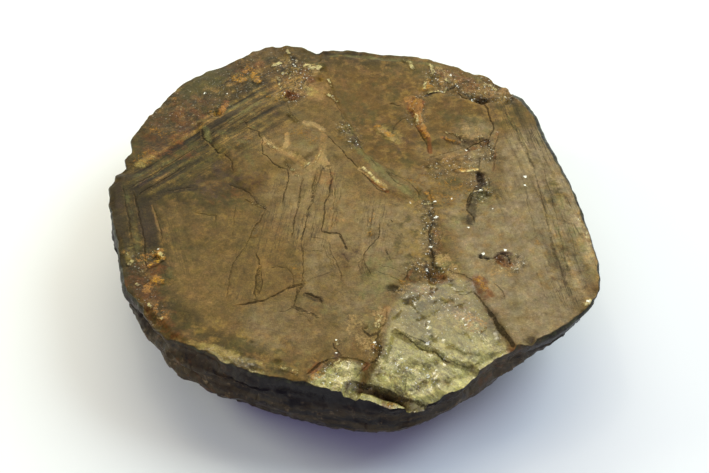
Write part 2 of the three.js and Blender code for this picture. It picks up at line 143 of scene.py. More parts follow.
# Glassy chips along the near edge, cut last; those with a glaze below 1 are duller.
chips = [
    {"corners": [(3, -12, 0.02), (4.3, -9.8, 0.02), (5.6, -8.1, -0.05), (8.1, -8, -0.15), (10.4, -7.1, -0.05),
                 (12, -8.2, -0.1), (12.9, -10.4, -0.25), (13.9, -13, -0.45), (14.8, -15.2, -0.5),
                 (15.9, -17.2, -0.55), (17, -21, -0.9), (10.6, -27, -2.1), (7.4, -24.4, -1.7),
                 (4.6, -22.8, -1.4), (0.2, -21.6, -0.9), (1.6, -19.4, -0.4), (2.2, -16.6, -0.2),
                 (2.4, -14.6, -0.1)], "middle": (8.6, -14.0, -0.42), "ramp": 0.5},
    {"corners": [(3.7, -15.1, -0.22), (5.5, -16.1, -0.32), (7.8, -17.1, -0.42), (9.3, -18.5, -0.6),
                 (11.6, -19, -0.7), (13, -20, -0.9), (13, -23, -2.0), (7.6, -24.8, -1.8), (4.4, -22.8, -1.4),
                 (2.6, -19, -0.35)], "middle": (7.4, -20.6, -0.85), "ramp": 0.25},
    {"corners": [(-4.9, -21.1, 0.02), (-4.1, -19.9, 0.02), (-2.6, -18.7, 0.02), (-0.3, -18.6, 0.02),
                 (1.2, -19.3, -0.1), (0.4, -21.4, -0.9), (-0.8, -25, -1.7), (-5.8, -24.6, 0.02)],
     "middle": (-1.9, -20.6, -0.75), "ramp": 0.3},
    {"corners": [(-1.2, -21.2, -1.0), (1, -21.4, -1.4), (3.5, -22, -1.8), (5.3, -22.4, -1.9),
                 (7.5, -22.8, -1.9), (9.4, -23.6, -1.8), (5, -27, -2.8), (-2.6, -25, -1.5)], "ramp": 0.25},
    {"corners": [(-17.4, -16.8, 0.02), (-13.6, -17, 0.02), (-9.6, -18.8, 0.02), (-8.4, -22.4, 0.02),
                 (-12.6, -21.8, -0.7), (-16.4, -19.6, -0.6)], "ramp": 0.4, "glaze": 0.4},
    {"corners": [(16.2, -16.4, 0.02), (17.4, -15.8, 0.02), (18.6, -16.4, 0.02), (18.4, -18.4, -0.9),
                 (16, -19.4, -1.2)], "ramp": 0.3, "glaze": 0.5},
    {"corners": [(-21.4, -11.8, 0.02), (-18.2, -15.4, 0.02), (-18.4, -18.2, -1.1), (-23.4, -13.4, -1.1)],
     "ramp": 0.4, "glaze": 0.3},
]

# Breaks in the underside, round the flat rest face; heights are above that face.
undersideBreaks = [
    {"corners": [(-22, -6, 2.2), (-15.5, -2, 0), (-14, -8, 0), (-13, -14.5, 0), (-18, -18, 2.2),
                 (-23, -13, 2.6)], "middle": (-18.4, -9.6, 1.1), "ramp": 0.8},
    {"corners": [(7, -19.5, 1.8), (8, -13, 0), (13, -9.5, 0), (19.5, -11, 2.2), (17, -18, 2.6)],
     "middle": (13, -14.4, 0.9), "ramp": 0.8},
    {"corners": [(10, 23.5, 2.0), (4, 17, 0), (8, 13.5, 0), (14.5, 10, 0), (20.5, 13, 2.2), (18, 20, 2.4)],
     "middle": (12.4, 17, 0.8), "ramp": 0.8},
    {"corners": [(-16, 25, 2.2), (-9, 19, 0), (-11, 15.5, 0), (-16.5, 13, 0), (-23, 16, 2.2)],
     "middle": (-15.6, 18.4, 0.8), "ramp": 0.8},
]

# Cracks and growth lines of the top face: width, depth, throw (how much the left side of the path stands
# higher), tone (how dark the line is), then the x and y of each point of the path.
cracks = [
    # the step that bounds the hatched corner, and the crisp line inside it
    (0.16, 0.1, -0.06, 0.9, -17, 14.3, -16.8, 12.8, -16.2, 12, -15.6, 11.1, -15.1, 10.4, -14.6, 10.2),
    (0.1, 0.04, -0.04, 0.7, -14.6, 10.2, -14.1, 9.7, -13.5, 8.9, -13.3, 7.5),
    (0.1, 0.05, -0.04, 0.85, -12.4, 15, -12.1, 14.2, -11.5, 13.9, -10.8, 13.6, -10.7, 12.8, -10.4, 12.2,
     -10.4, 11.4, -10.2, 10.1, -9.5, 9.4, -9, 8.6, -8.2, 8.1, -7.4, 7.8),
    (0.1, 0.05, -0.04, 0.8, -7.4, 7.8, -7.4, 6, -7.8, 4.3, -8, 2.8),
    (0.1, 0.03, 0, 0.5, -5.8, 6.8, -6, 4.4, -6.4, 2.5), (0.08, 0.03, 0, 0.45, -7.7, 18, -7, 15.8, -6.2, 15),
    # the left half
    (0.1, 0.04, 0.02, 0.5, -17.1, 1.5, -16.1, 1.2, -14.9, 1, -15, -0.1),
    (0.08, 0.02, 0, 0.4, -12.9, 2.5, -13, 0.2, -13, -2.1),
    (0.1, 0.04, 0.02, 0.6, -9.8, 1.8, -10.3, 0.4, -10.9, -0.8, -11.2, -2.2, -11.5, -3.5),
    (0.1, 0.03, 0.02, 0.5, -11.6, -3.6, -12.5, -5.2, -13, -6.8, -13.1, -8.9, -13.2, -10.7),
    (0.12, 0.05, 0.03, 0.75, -10.5, -4.3, -10.1, -6.1, -10.4, -7.7, -10.4, -9.2, -10.3, -10.6),
    (0.09, 0.04, 0.02, 0.6, -10, -6.1, -9.8, -8, -9.8, -10.1),
    (0.1, 0.04, 0.02, 0.65, -5.8, -3, -5.5, -4.3, -5.6, -6.5, -5.5, -8.9),
    (0.08, 0.03, 0, 0.5, -9.1, -6.5, -8.2, -6.2, -7.2, -6.6, -6.6, -7.5, -6.3, -8.9),
    (0.1, 0.03, 0, 0.5, -13.7, 5.6, -12.3, 5, -11.3, 4.1, -10.5, 2.8, -9.5, 1.6),
    (0.08, 0.02, 0, 0.4, -20.4, 4.6, -19.2, 4.9, -17.5, 5.1),
    (0.16, 0.1, 0.06, 0.85, -12.3, -11.7, -11.4, -11.4, -10.3, -11, -9.3, -10.8, -8.3, -10.1, -7.4, -9.5,
     -6.3, -9, -5.2, -8.5),
    (0.12, 0.06, 0, 0.7, -6.2, -10.1, -5.7, -9.2, -5.2, -8.5),
    (0.1, 0.05, -0.04, 0.8, -6.1, -9.1, -6.2, -10.4, -6.5, -11.7),
    (0.12, 0.06, -0.04, 0.8, -6.5, -11.7, -5.6, -12, -4.7, -12.5, -3.7, -13.2),
    (0.1, 0.04, 0, 0.6, -6.5, -11.9, -7.3, -12.3, -8, -12.5),
    (0.1, 0.06, 0.05, 0.7, -5.4, -10.1, -4.6, -10, -3.8, -10.7),
    # growth lines of the middle
    (0.1, 0.05, 0.04, 0.8, -5.7, 6.8, -6, 4.8, -6.1, 2.8, -6.5, 0.2, -6.8, -2.1),
    (0.1, 0.05, 0.04, 0.85, -4.5, 7, -4.7, 4.8, -5, 2.3, -5.3, 0.2, -5.7, -2.4),
    (0.08, 0.03, 0.02, 0.6, -4.2, 7.2, -4.5, 4.1, -5.1, 1.2, -5.6, -1.7),
    (0.12, 0.06, 0.06, 0.85, -2.6, 7.2, -2.8, 4.8, -3.3, 2.8, -3.5, 0.8, -3.7, -0.9, -3.5, -1.4),
    (0.16, 0.12, 0.08, 0.95, -3.6, -1.2, -2.8, -1.5, -1.9, -1.6),
    (0.16, 0.12, 0.08, 0.95, -1.9, -1.6, -1.6, -2, -1.3, -2.8, -1, -4),
    (0.08, 0.02, 0, 0.5, -2.3, 5.8, -2.4, 1.8, -2.7, -0.8),
    (0.08, 0.02, 0, 0.45, -1.7, 5.1, -2, 1.8, -2.1, -0.4),
    (0.1, 0.05, 0.04, 0.8, 2.5, -0.1, 2.3, -1.1, 2.3, -2, 1.7, -3.3, 1, -4.2, 0.7, -5),
    (0.08, 0.03, 0.02, 0.55, 0.7, -5.1, 1, -6.1, 1.4, -7.4),
    (0.1, 0.03, 0, 0.6, 1.9, 2.1, 1.6, 0.2, 1.3, -2.1), (0.08, 0.03, 0, 0.5, 1.3, 0.7, 1.2, -0.8, 1.2, -2.1),
    (0.14, 0.05, 0, 0.9, 3.7, 0.3, 3.9, -0.1), (0.1, 0.03, 0, 0.65, 3, -3.6, 3.3, -4.6, 3.6, -5.7),
    (0.08, 0.02, 0, 0.5, 0.8, -5.2, 0.2, -5.8, 0.5, -7.4),
    (0.08, 0.02, 0, 0.55, -3, -2.6, -2.5, -4.6, -1.9, -6.5, -1.4, -8.3),
    (0.08, 0.02, 0, 0.45, -3.5, -3, -2.9, -4.9, -2.4, -6.8),
    (0.08, 0.02, 0, 0.5, -4.9, -4.2, -4.2, -4, -3.4, -4.3),
    (0.08, 0.02, 0, 0.5, -4.7, -2.1, -3.9, -2.4, -3.2, -2.5),
    (0.1, 0.03, 0.02, 0.6, -5.8, -3.2, -5.5, -4.6, -5.6, -6.5, -5.6, -8),
    (0.08, 0.02, 0, 0.5, -1.3, -4.6, -0.9, -5.5, -1.1, -6.5),
    (0.08, 0.02, 0, 0.45, 0, -4.6, 0.5, -5.5, 0.7, -6.8, 1.2, -8),
    (0.1, 0.03, 0, 0.5, 1.8, -6.8, 3, -7.4, 4.1, -8, 4.7, -8.5),
    (0.08, 0.02, 0, 0.45, 2.3, -6, 3.5, -6.5, 4.6, -7.1),
    (0.08, 0.02, 0, 0.4, -6.8, -8.9, -5.5, -8.5, -3.9, -7.7, -2.5, -6.8),
    # the small lens of the near left
    (0.12, 0.08, -0.05, 0.85, -6.8, -11.8, -5.7, -12.2, -4.7, -12.7, -3.8, -13.3),
    (0.12, 0.08, 0.06, 0.8, -5.3, -10, -4.5, -10.2, -3.8, -10.7, -3.5, -11.5),
    (0.08, 0.02, 0, 0.45, -6.1, -12.5, -5.2, -13, -4.5, -14),
    # the diagonal tongue
    (0.1, 0.06, 0, 0.85, -3.1, 12.9, -2.2, 11.6, -1.4, 10.4, -0.5, 9.3, 0.3, 8),
    (0.1, 0.06, 0, 0.8, 0.4, 7.5, 1.3, 6.4, 2.2, 5, 3.3, 4.2),
    (0.08, 0.03, 0, 0.5, -1.4, 15.6, -0.6, 14.2, 0.1, 13, 1.1, 10.4, 2.3, 8.1),
    (0.1, 0.04, 0, 0.6, 3.2, 7.6, 3.8, 6.8, 4.3, 5.9, 5.1, 5.4),
    (0.1, 0.05, 0.04, 0.7, 3.7, 7.5, 5.1, 6.5, 6.1, 5.3, 6.7, 4.2, 6.7, 3.5),
    (0.1, 0.04, -0.03, 0.6, -4.3, 5, -3.8, 7.7, -3.1, 8.4, -2.7, 6.4, -3, 3),
    (0.08, 0.03, 0, 0.45, -3.2, 21.1, -2.3, 18.5, -1.4, 15.6, -0.2, 13.3),
    # the fissure of the middle and its branches
    (0.1, 0.06, 0.04, 0.6, 7.8, 4.9, 8.1, 2.9, 8.3, 1.6),
    (0.14, 0.1, 0.06, 0.85, 8, 0.1, 7.8, -1.3, 7.6, -2.9),
    (0.22, 0.16, 0.06, 0.95, 7.7, -3.5, 8.1, -4.6, 8.1, -5.4, 7.9, -6.4),
    (0.1, 0.05, 0, 0.75, 5.8, -6.7, 5.3, -7.2, 5, -8.1),
    (0.08, 0.04, 0, 0.6, 4.6, -7.4, 5.3, -7.7, 5.6, -8.3),
    (0.1, 0.04, 0, 0.6, 9.2, -6.5, 10.1, -7.3, 11, -7.3, 11.9, -8.2),
    (0.08, 0.03, 0, 0.5, 8.4, -3.3, 8.9, -2.1, 9.1, -1.4),
    # the far right: vein, cracks and the broken block
    (0.1, 0.06, 0.04, 0.7, 6.6, 15.2, 6.8, 14.3, 7.2, 13.2, 7.6, 12.4, 7.9, 11.3, 8, 10.6),
    (0.12, 0.06, 0, 0.8, 3.6, 18.6, 4.1, 18.7, 4.9, 18.4),
    (0.08, 0.03, 0, 0.5, 4, 13.8, 4.3, 15.2, 5, 16.1, 5.7, 16.4),
    (0.14, 0.14, 0.08, 0.9, 14, 19, 14.3, 18.1, 14.6, 17.3, 14.7, 16.4, 15.2, 15.2, 15.2, 14.3, 14.8, 13.4,
     14.7, 12.6),
    (0.12, 0.1, 0.06, 0.85, 14.7, 12.6, 14.5, 11.7, 14.9, 11, 14.7, 10.1),
    (0.12, 0.08, 0.05, 0.85, 14.7, 12.6, 13.8, 12.2, 12.8, 12, 12.3, 11.7, 11.8, 11),
    (0.1, 0.06, 0, 0.8, 9.7, 13.7, 10.5, 13.6, 11.1, 13.3, 11.5, 12.6),
    (0.08, 0.03, 0, 0.5, 7.7, 9.9, 9.1, 10.5, 10.6, 11, 11.8, 11.6),
    (0.1, 0.05, 0.03, 0.7, 13.3, 8.4, 13.5, 9.2, 13.6, 10.1),
    (0.14, 0.14, 0.05, 0.85, 12.8, 5.4, 12.4, 4.7, 11.9, 3.7, 11.7, 2.1),
    (0.1, 0.06, 0.03, 0.75, 12.6, 4.5, 11.9, 2.8, 11.7, 1.7, 12.3, 0.9, 12.4, -0.3),
    (0.1, 0.06, 0, 0.7, 14.2, 6.6, 14.2, 5.2, 13.9, 3.9),
    (0.16, 0.12, 0, 0.9, 12.6, 19.7, 11.9, 20.1, 11.4, 20.8),
    (0.14, 0.08, 0, 0.85, 7.9, 19.5, 8.9, 20.1, 9.9, 20.8, 11.4, 21.7),
    (0.08, 0.03, 0, 0.5, 15.8, 13.5, 15.3, 11.7, 15, 9.3, 14.7, 7.6),
    (0.1, 0.06, 0.04, 0.8, 12.6, -4.6, 13.4, -5.2, 14.3, -5.1, 14.7, -4.6, 15.3, -4.3, 16, -4.3),
    (0.16, 0.1, 0.05, 0.9, 15, -4.2, 15.7, -4.8, 16, -5.8),
    (0.08, 0.03, 0, 0.5, 10, 7.9, 10.9, 8.4, 12.1, 8.3),
    # growth zoning of the two sides, colour with hardly any relief
    (0.1, 0, 0, 0.55, 16.7, 17, 17.5, 14.2, 18.6, 11, 19.2, 7.9),
    (0.08, 0, 0, 0.45, 17.2, 16, 18.1, 13.5, 19.1, 11),
    (0.1, 0, 0, 0.5, 19, 9.4, 19.7, 4, 20.3, -1.1, 20.7, -5.6),
    (0.08, 0, 0, 0.4, 20.1, 9.4, 20.9, 3.3, 21.5, -2.5, 21.9, -8.4),
    (0.08, 0, 0, 0.4, 21.5, 5.6, 22.3, -0.4, 23.1, -7), (0.08, 0, 0, 0.35, 17.8, 8.6, 18.3, 3.3, 18.8, -1.8),
    (0.1, 0, 0, 0.5, 20.3, -0.2, 20.8, -4.2, 21.4, -9.5), (0.08, 0, 0, 0.4, 18.6, -6.8, 19.3, -10.9),
    (0.1, 0, 0, 0.6, -24.2, 5.3, -23.5, 6, -21.5, 7.8, -19.4, 9.7, -17.8, 11.1),
    (0.1, 0, 0, 0.5, -23.4, 4, -21.8, 5.6, -20, 7.3, -18.2, 8.7),
    (0.12, 0, 0, 0.6, -24, 4.7, -23.4, 2.5, -22.8, -0.1, -22.2, -3, -21.6, -7.1),
    (0.1, 0, 0, 0.45, -25.2, 5.8, -24.8, 3.5, -24.1, 0.5, -23.3, -3.3),
    (0.1, 0, 0, 0.45, -21.7, 2.5, -21, -0.1, -20.1, -3.6),
    (0.08, 0, 0, 0.5, -16.2, 12.8, -14.1, 15.1, -12.2, 17.1),
    (0.08, 0, 0, 0.5, -13.2, 16.8, -10.8, 19.1, -9.3, 20.6),
    (0.08, 0, 0, 0.45, -14, 13.6, -12.1, 15.3, -10.2, 17.5),
    # the chips
    (0.14, 0.08, 0.06, 0.95, 3.7, -15.1, 4.6, -15.2, 5.5, -16.1, 6.1, -16.6, 7, -17, 7.8, -17.1, 8.4, -17.8,
     9.3, -18.5),
    (0.1, 0.04, 0.03, 0.7, 9.2, -18.4, 10.5, -18.8, 11.6, -19, 12.3, -18.5),
    (0.1, 0.04, 0.03, 0.7, 4.6, -15, 5.8, -15.5, 6.8, -16, 7.6, -16.5, 8, -17),
    (0.1, 0.03, 0, 0.6, 5, -20, 4.8, -21, 4.6, -21.6),
    (0.1, 0.04, 0.03, 0.5, 3, -12.3, 2.9, -13.3, 2.5, -14.6),
    (0.2, 0.1, 0.06, 0.85, 2.5, -14.6, 2.1, -15.3, 1.9, -16.2, 2.3, -17, 2.2, -17.9, 1.8, -18.6, 1.2, -19.3),
    (0.14, 0.06, 0.03, 0.7, 1.2, -19.3, 0.5, -20, -0.2, -20.7),
    (0.2, 0.1, 0, 0.9, 0.6, -14.6, 0.9, -15.2, 1.3, -15.8, 2, -15.3),
    (0.2, 0.12, 0.08, 0.9, -4.9, -20.7, -4.4, -20.1, -3.6, -19.2, -2.8, -18.6),
    (0.1, 0.06, 0.06, 0.6, -2.8, -18.6, -1.7, -18.5, -0.5, -18.6, 0.7, -19, 1.2, -19.2),
    (0.14, 0.08, 0, 0.85, -2.5, -16.5, -2.3, -17.1, -1.8, -17.8, -1.4, -18.4),
    (0.2, 0.16, 0, 0.95, -0.7, -21, 0.3, -21.2, 1, -21.25, 2.6, -21.55, 3.5, -21.85, 4.3, -22.05, 5.3, -22.25,
     6.7, -22.6, 7.5, -22.65),
    (0.44, 0.2, 0, 0.95, 1.4, -21.4, 2.6, -21.7, 3.6, -22, 4.6, -22.2),
    (0.1, 0.03, 0, 0.7, 3, -9.6, 3.8, -9.4, 4.2, -9.9),
    (0.12, 0.05, 0.02, 0.75, 12, -9.6, 13, -11.2, 13.6, -12.4),
    (0.34, 0.2, 0.06, 0.95, 13.3, -11.8, 13.9, -13, 14.5, -14.4, 15.1, -15.6, 16, -17.1),
    (0.1, 0.03, 0, 0.6, 14.2, -8.6, 14.8, -9.6, 15, -10.6),
    (0.1, 0.03, 0.02, 0.5, 9.8, -9.6, 11, -10, 11.9, -9.4),
]

# Cavities where small inclusions or flakes broke out: middle, radius and depth.
pits = [
    (13.6, 19.2, 0.8, 0.45), (14.4, 19, 0.5, 0.4), (8.1, -7.5, 0.95, 0.5), (13.4, 7.2, 0.5, 0.4),
    (13.3, 6.3, 0.4, 0.35), (4, -9.4, 0.45, 0.25), (3.5, -9.2, 0.35, 0.15), (-7.5, 19.6, 0.75, 0.4),
    (-4.2, 22.2, 0.35, 0.25), (5.2, -24.3, 0.4, 0.4), (15.6, -5.6, 0.8, 0.35), (14.9, -5.3, 0.5, 0.25),
    (-7.9, -19, 0.4, 0.25), (-15.6, 16.8, 0.7, 0.4), (-20.6, -5, 0.45, 0.25), (13.6, 3.6, 1, 0.25),
    (-11.1, -16, 0.22, 0.15), (-10.4, -16.5, 0.22, 0.18), (1.8, -3.7, 0.25, 0.15), (12.9, -4.9, 0.3, 0.35),
    (0.9, -14.5, 0.3, 0.25), (17.4, -16.2, 0.4, 0.35), (-21.2, -12.2, 0.3, 0.2), (-18.6, -15.6, 0.3, 0.2),
    (16.7, 18.6, 0.35, 0.3), (-0.9, 14.2, 0.3, 0.3), (-0.2, 12, 0.35, 0.25),
]

# Painted glints: small near-white spots where tiny facets catch the light, middle and radius.
flakes = [
    (18.2, 6.8, 0.24), (18.2, 5.5, 0.2), (17.4, 19.8, 0.22), (18, 19.6, 0.2), (13.1, 19.6, 0.26),
    (10.8, 23.6, 0.2), (11.4, 21.7, 0.16), (7.6, -10.3, 0.16), (7.3, -13.4, 0.24), (7.2, -14.2, 0.2),
    (7.1, -16.1, 0.28), (1.8, -16.5, 0.24), (-2, -16.2, 0.16), (-2, -17.9, 0.16), (8.8, -17.9, 0.18),
    (7.1, -19.8, 0.22), (5, -19, 0.2), (5.4, -19.1, 0.16), (5.7, -19.2, 0.14), (6.2, -19.4, 0.14),
    (8.4, 0.8, 0.26), (7.7, -3.5, 0.22), (6.5, -5.9, 0.18), (7.3, -6.9, 0.2), (10.2, -6.6, 0.18),
    (13.2, -4.5, 0.24), (15.5, -4, 0.24), (10.2, 3.7, 0.16), (5.8, 2.9, 0.14), (8.4, 3.3, 0.16),
    (11.8, -0.7, 0.14), (14.5, 2, 0.14), (23.6, -11, 0.3), (-20.6, -3.8, 0.14), (-13, 20.7, 0.14),
    (-14.6, 20.2, 0.12), (-17.2, 20.4, 0.12), (-8.4, 23.9, 0.16), (-8.8, 21.9, 0.14), (-7.1, 25.3, 0.2),
    (-0.8, 14.9, 0.16), (0, 12.3, 0.16), (0.2, 11.9, 0.14), (-2.6, 19.6, 0.14), (15.7, 13.8, 0.14),
    (12, 11.2, 0.16), (7.8, 19.6, 0.16), (9.6, 20.6, 0.16), (13.3, 4.8, 0.16), (14.1, 6, 0.14),
    (4.3, -18.2, 0.16), (-1.1, -23.4, 0.16), (1.5, -23, 0.2), (6.1, -23.8, 0.2), (6.7, -23.8, 0.16),
    (4.1, -18.9, 0.12), (0.5, -19.1, 0.12), (-1.6, -19.6, 0.16), (-1.8, -20.3, 0.14), (-2.6, -21.2, 0.14),
    (15, -14.4, 0.12), (20.5, 8.1, 0.12), (23.5, 0.6, 0.12), (24.7, -3, 0.12), (11.5, -13.3, 0.16),
    (11, -13.8, 0.16), (12, -12.8, 0.14), (10.8, -13, 0.14),
]
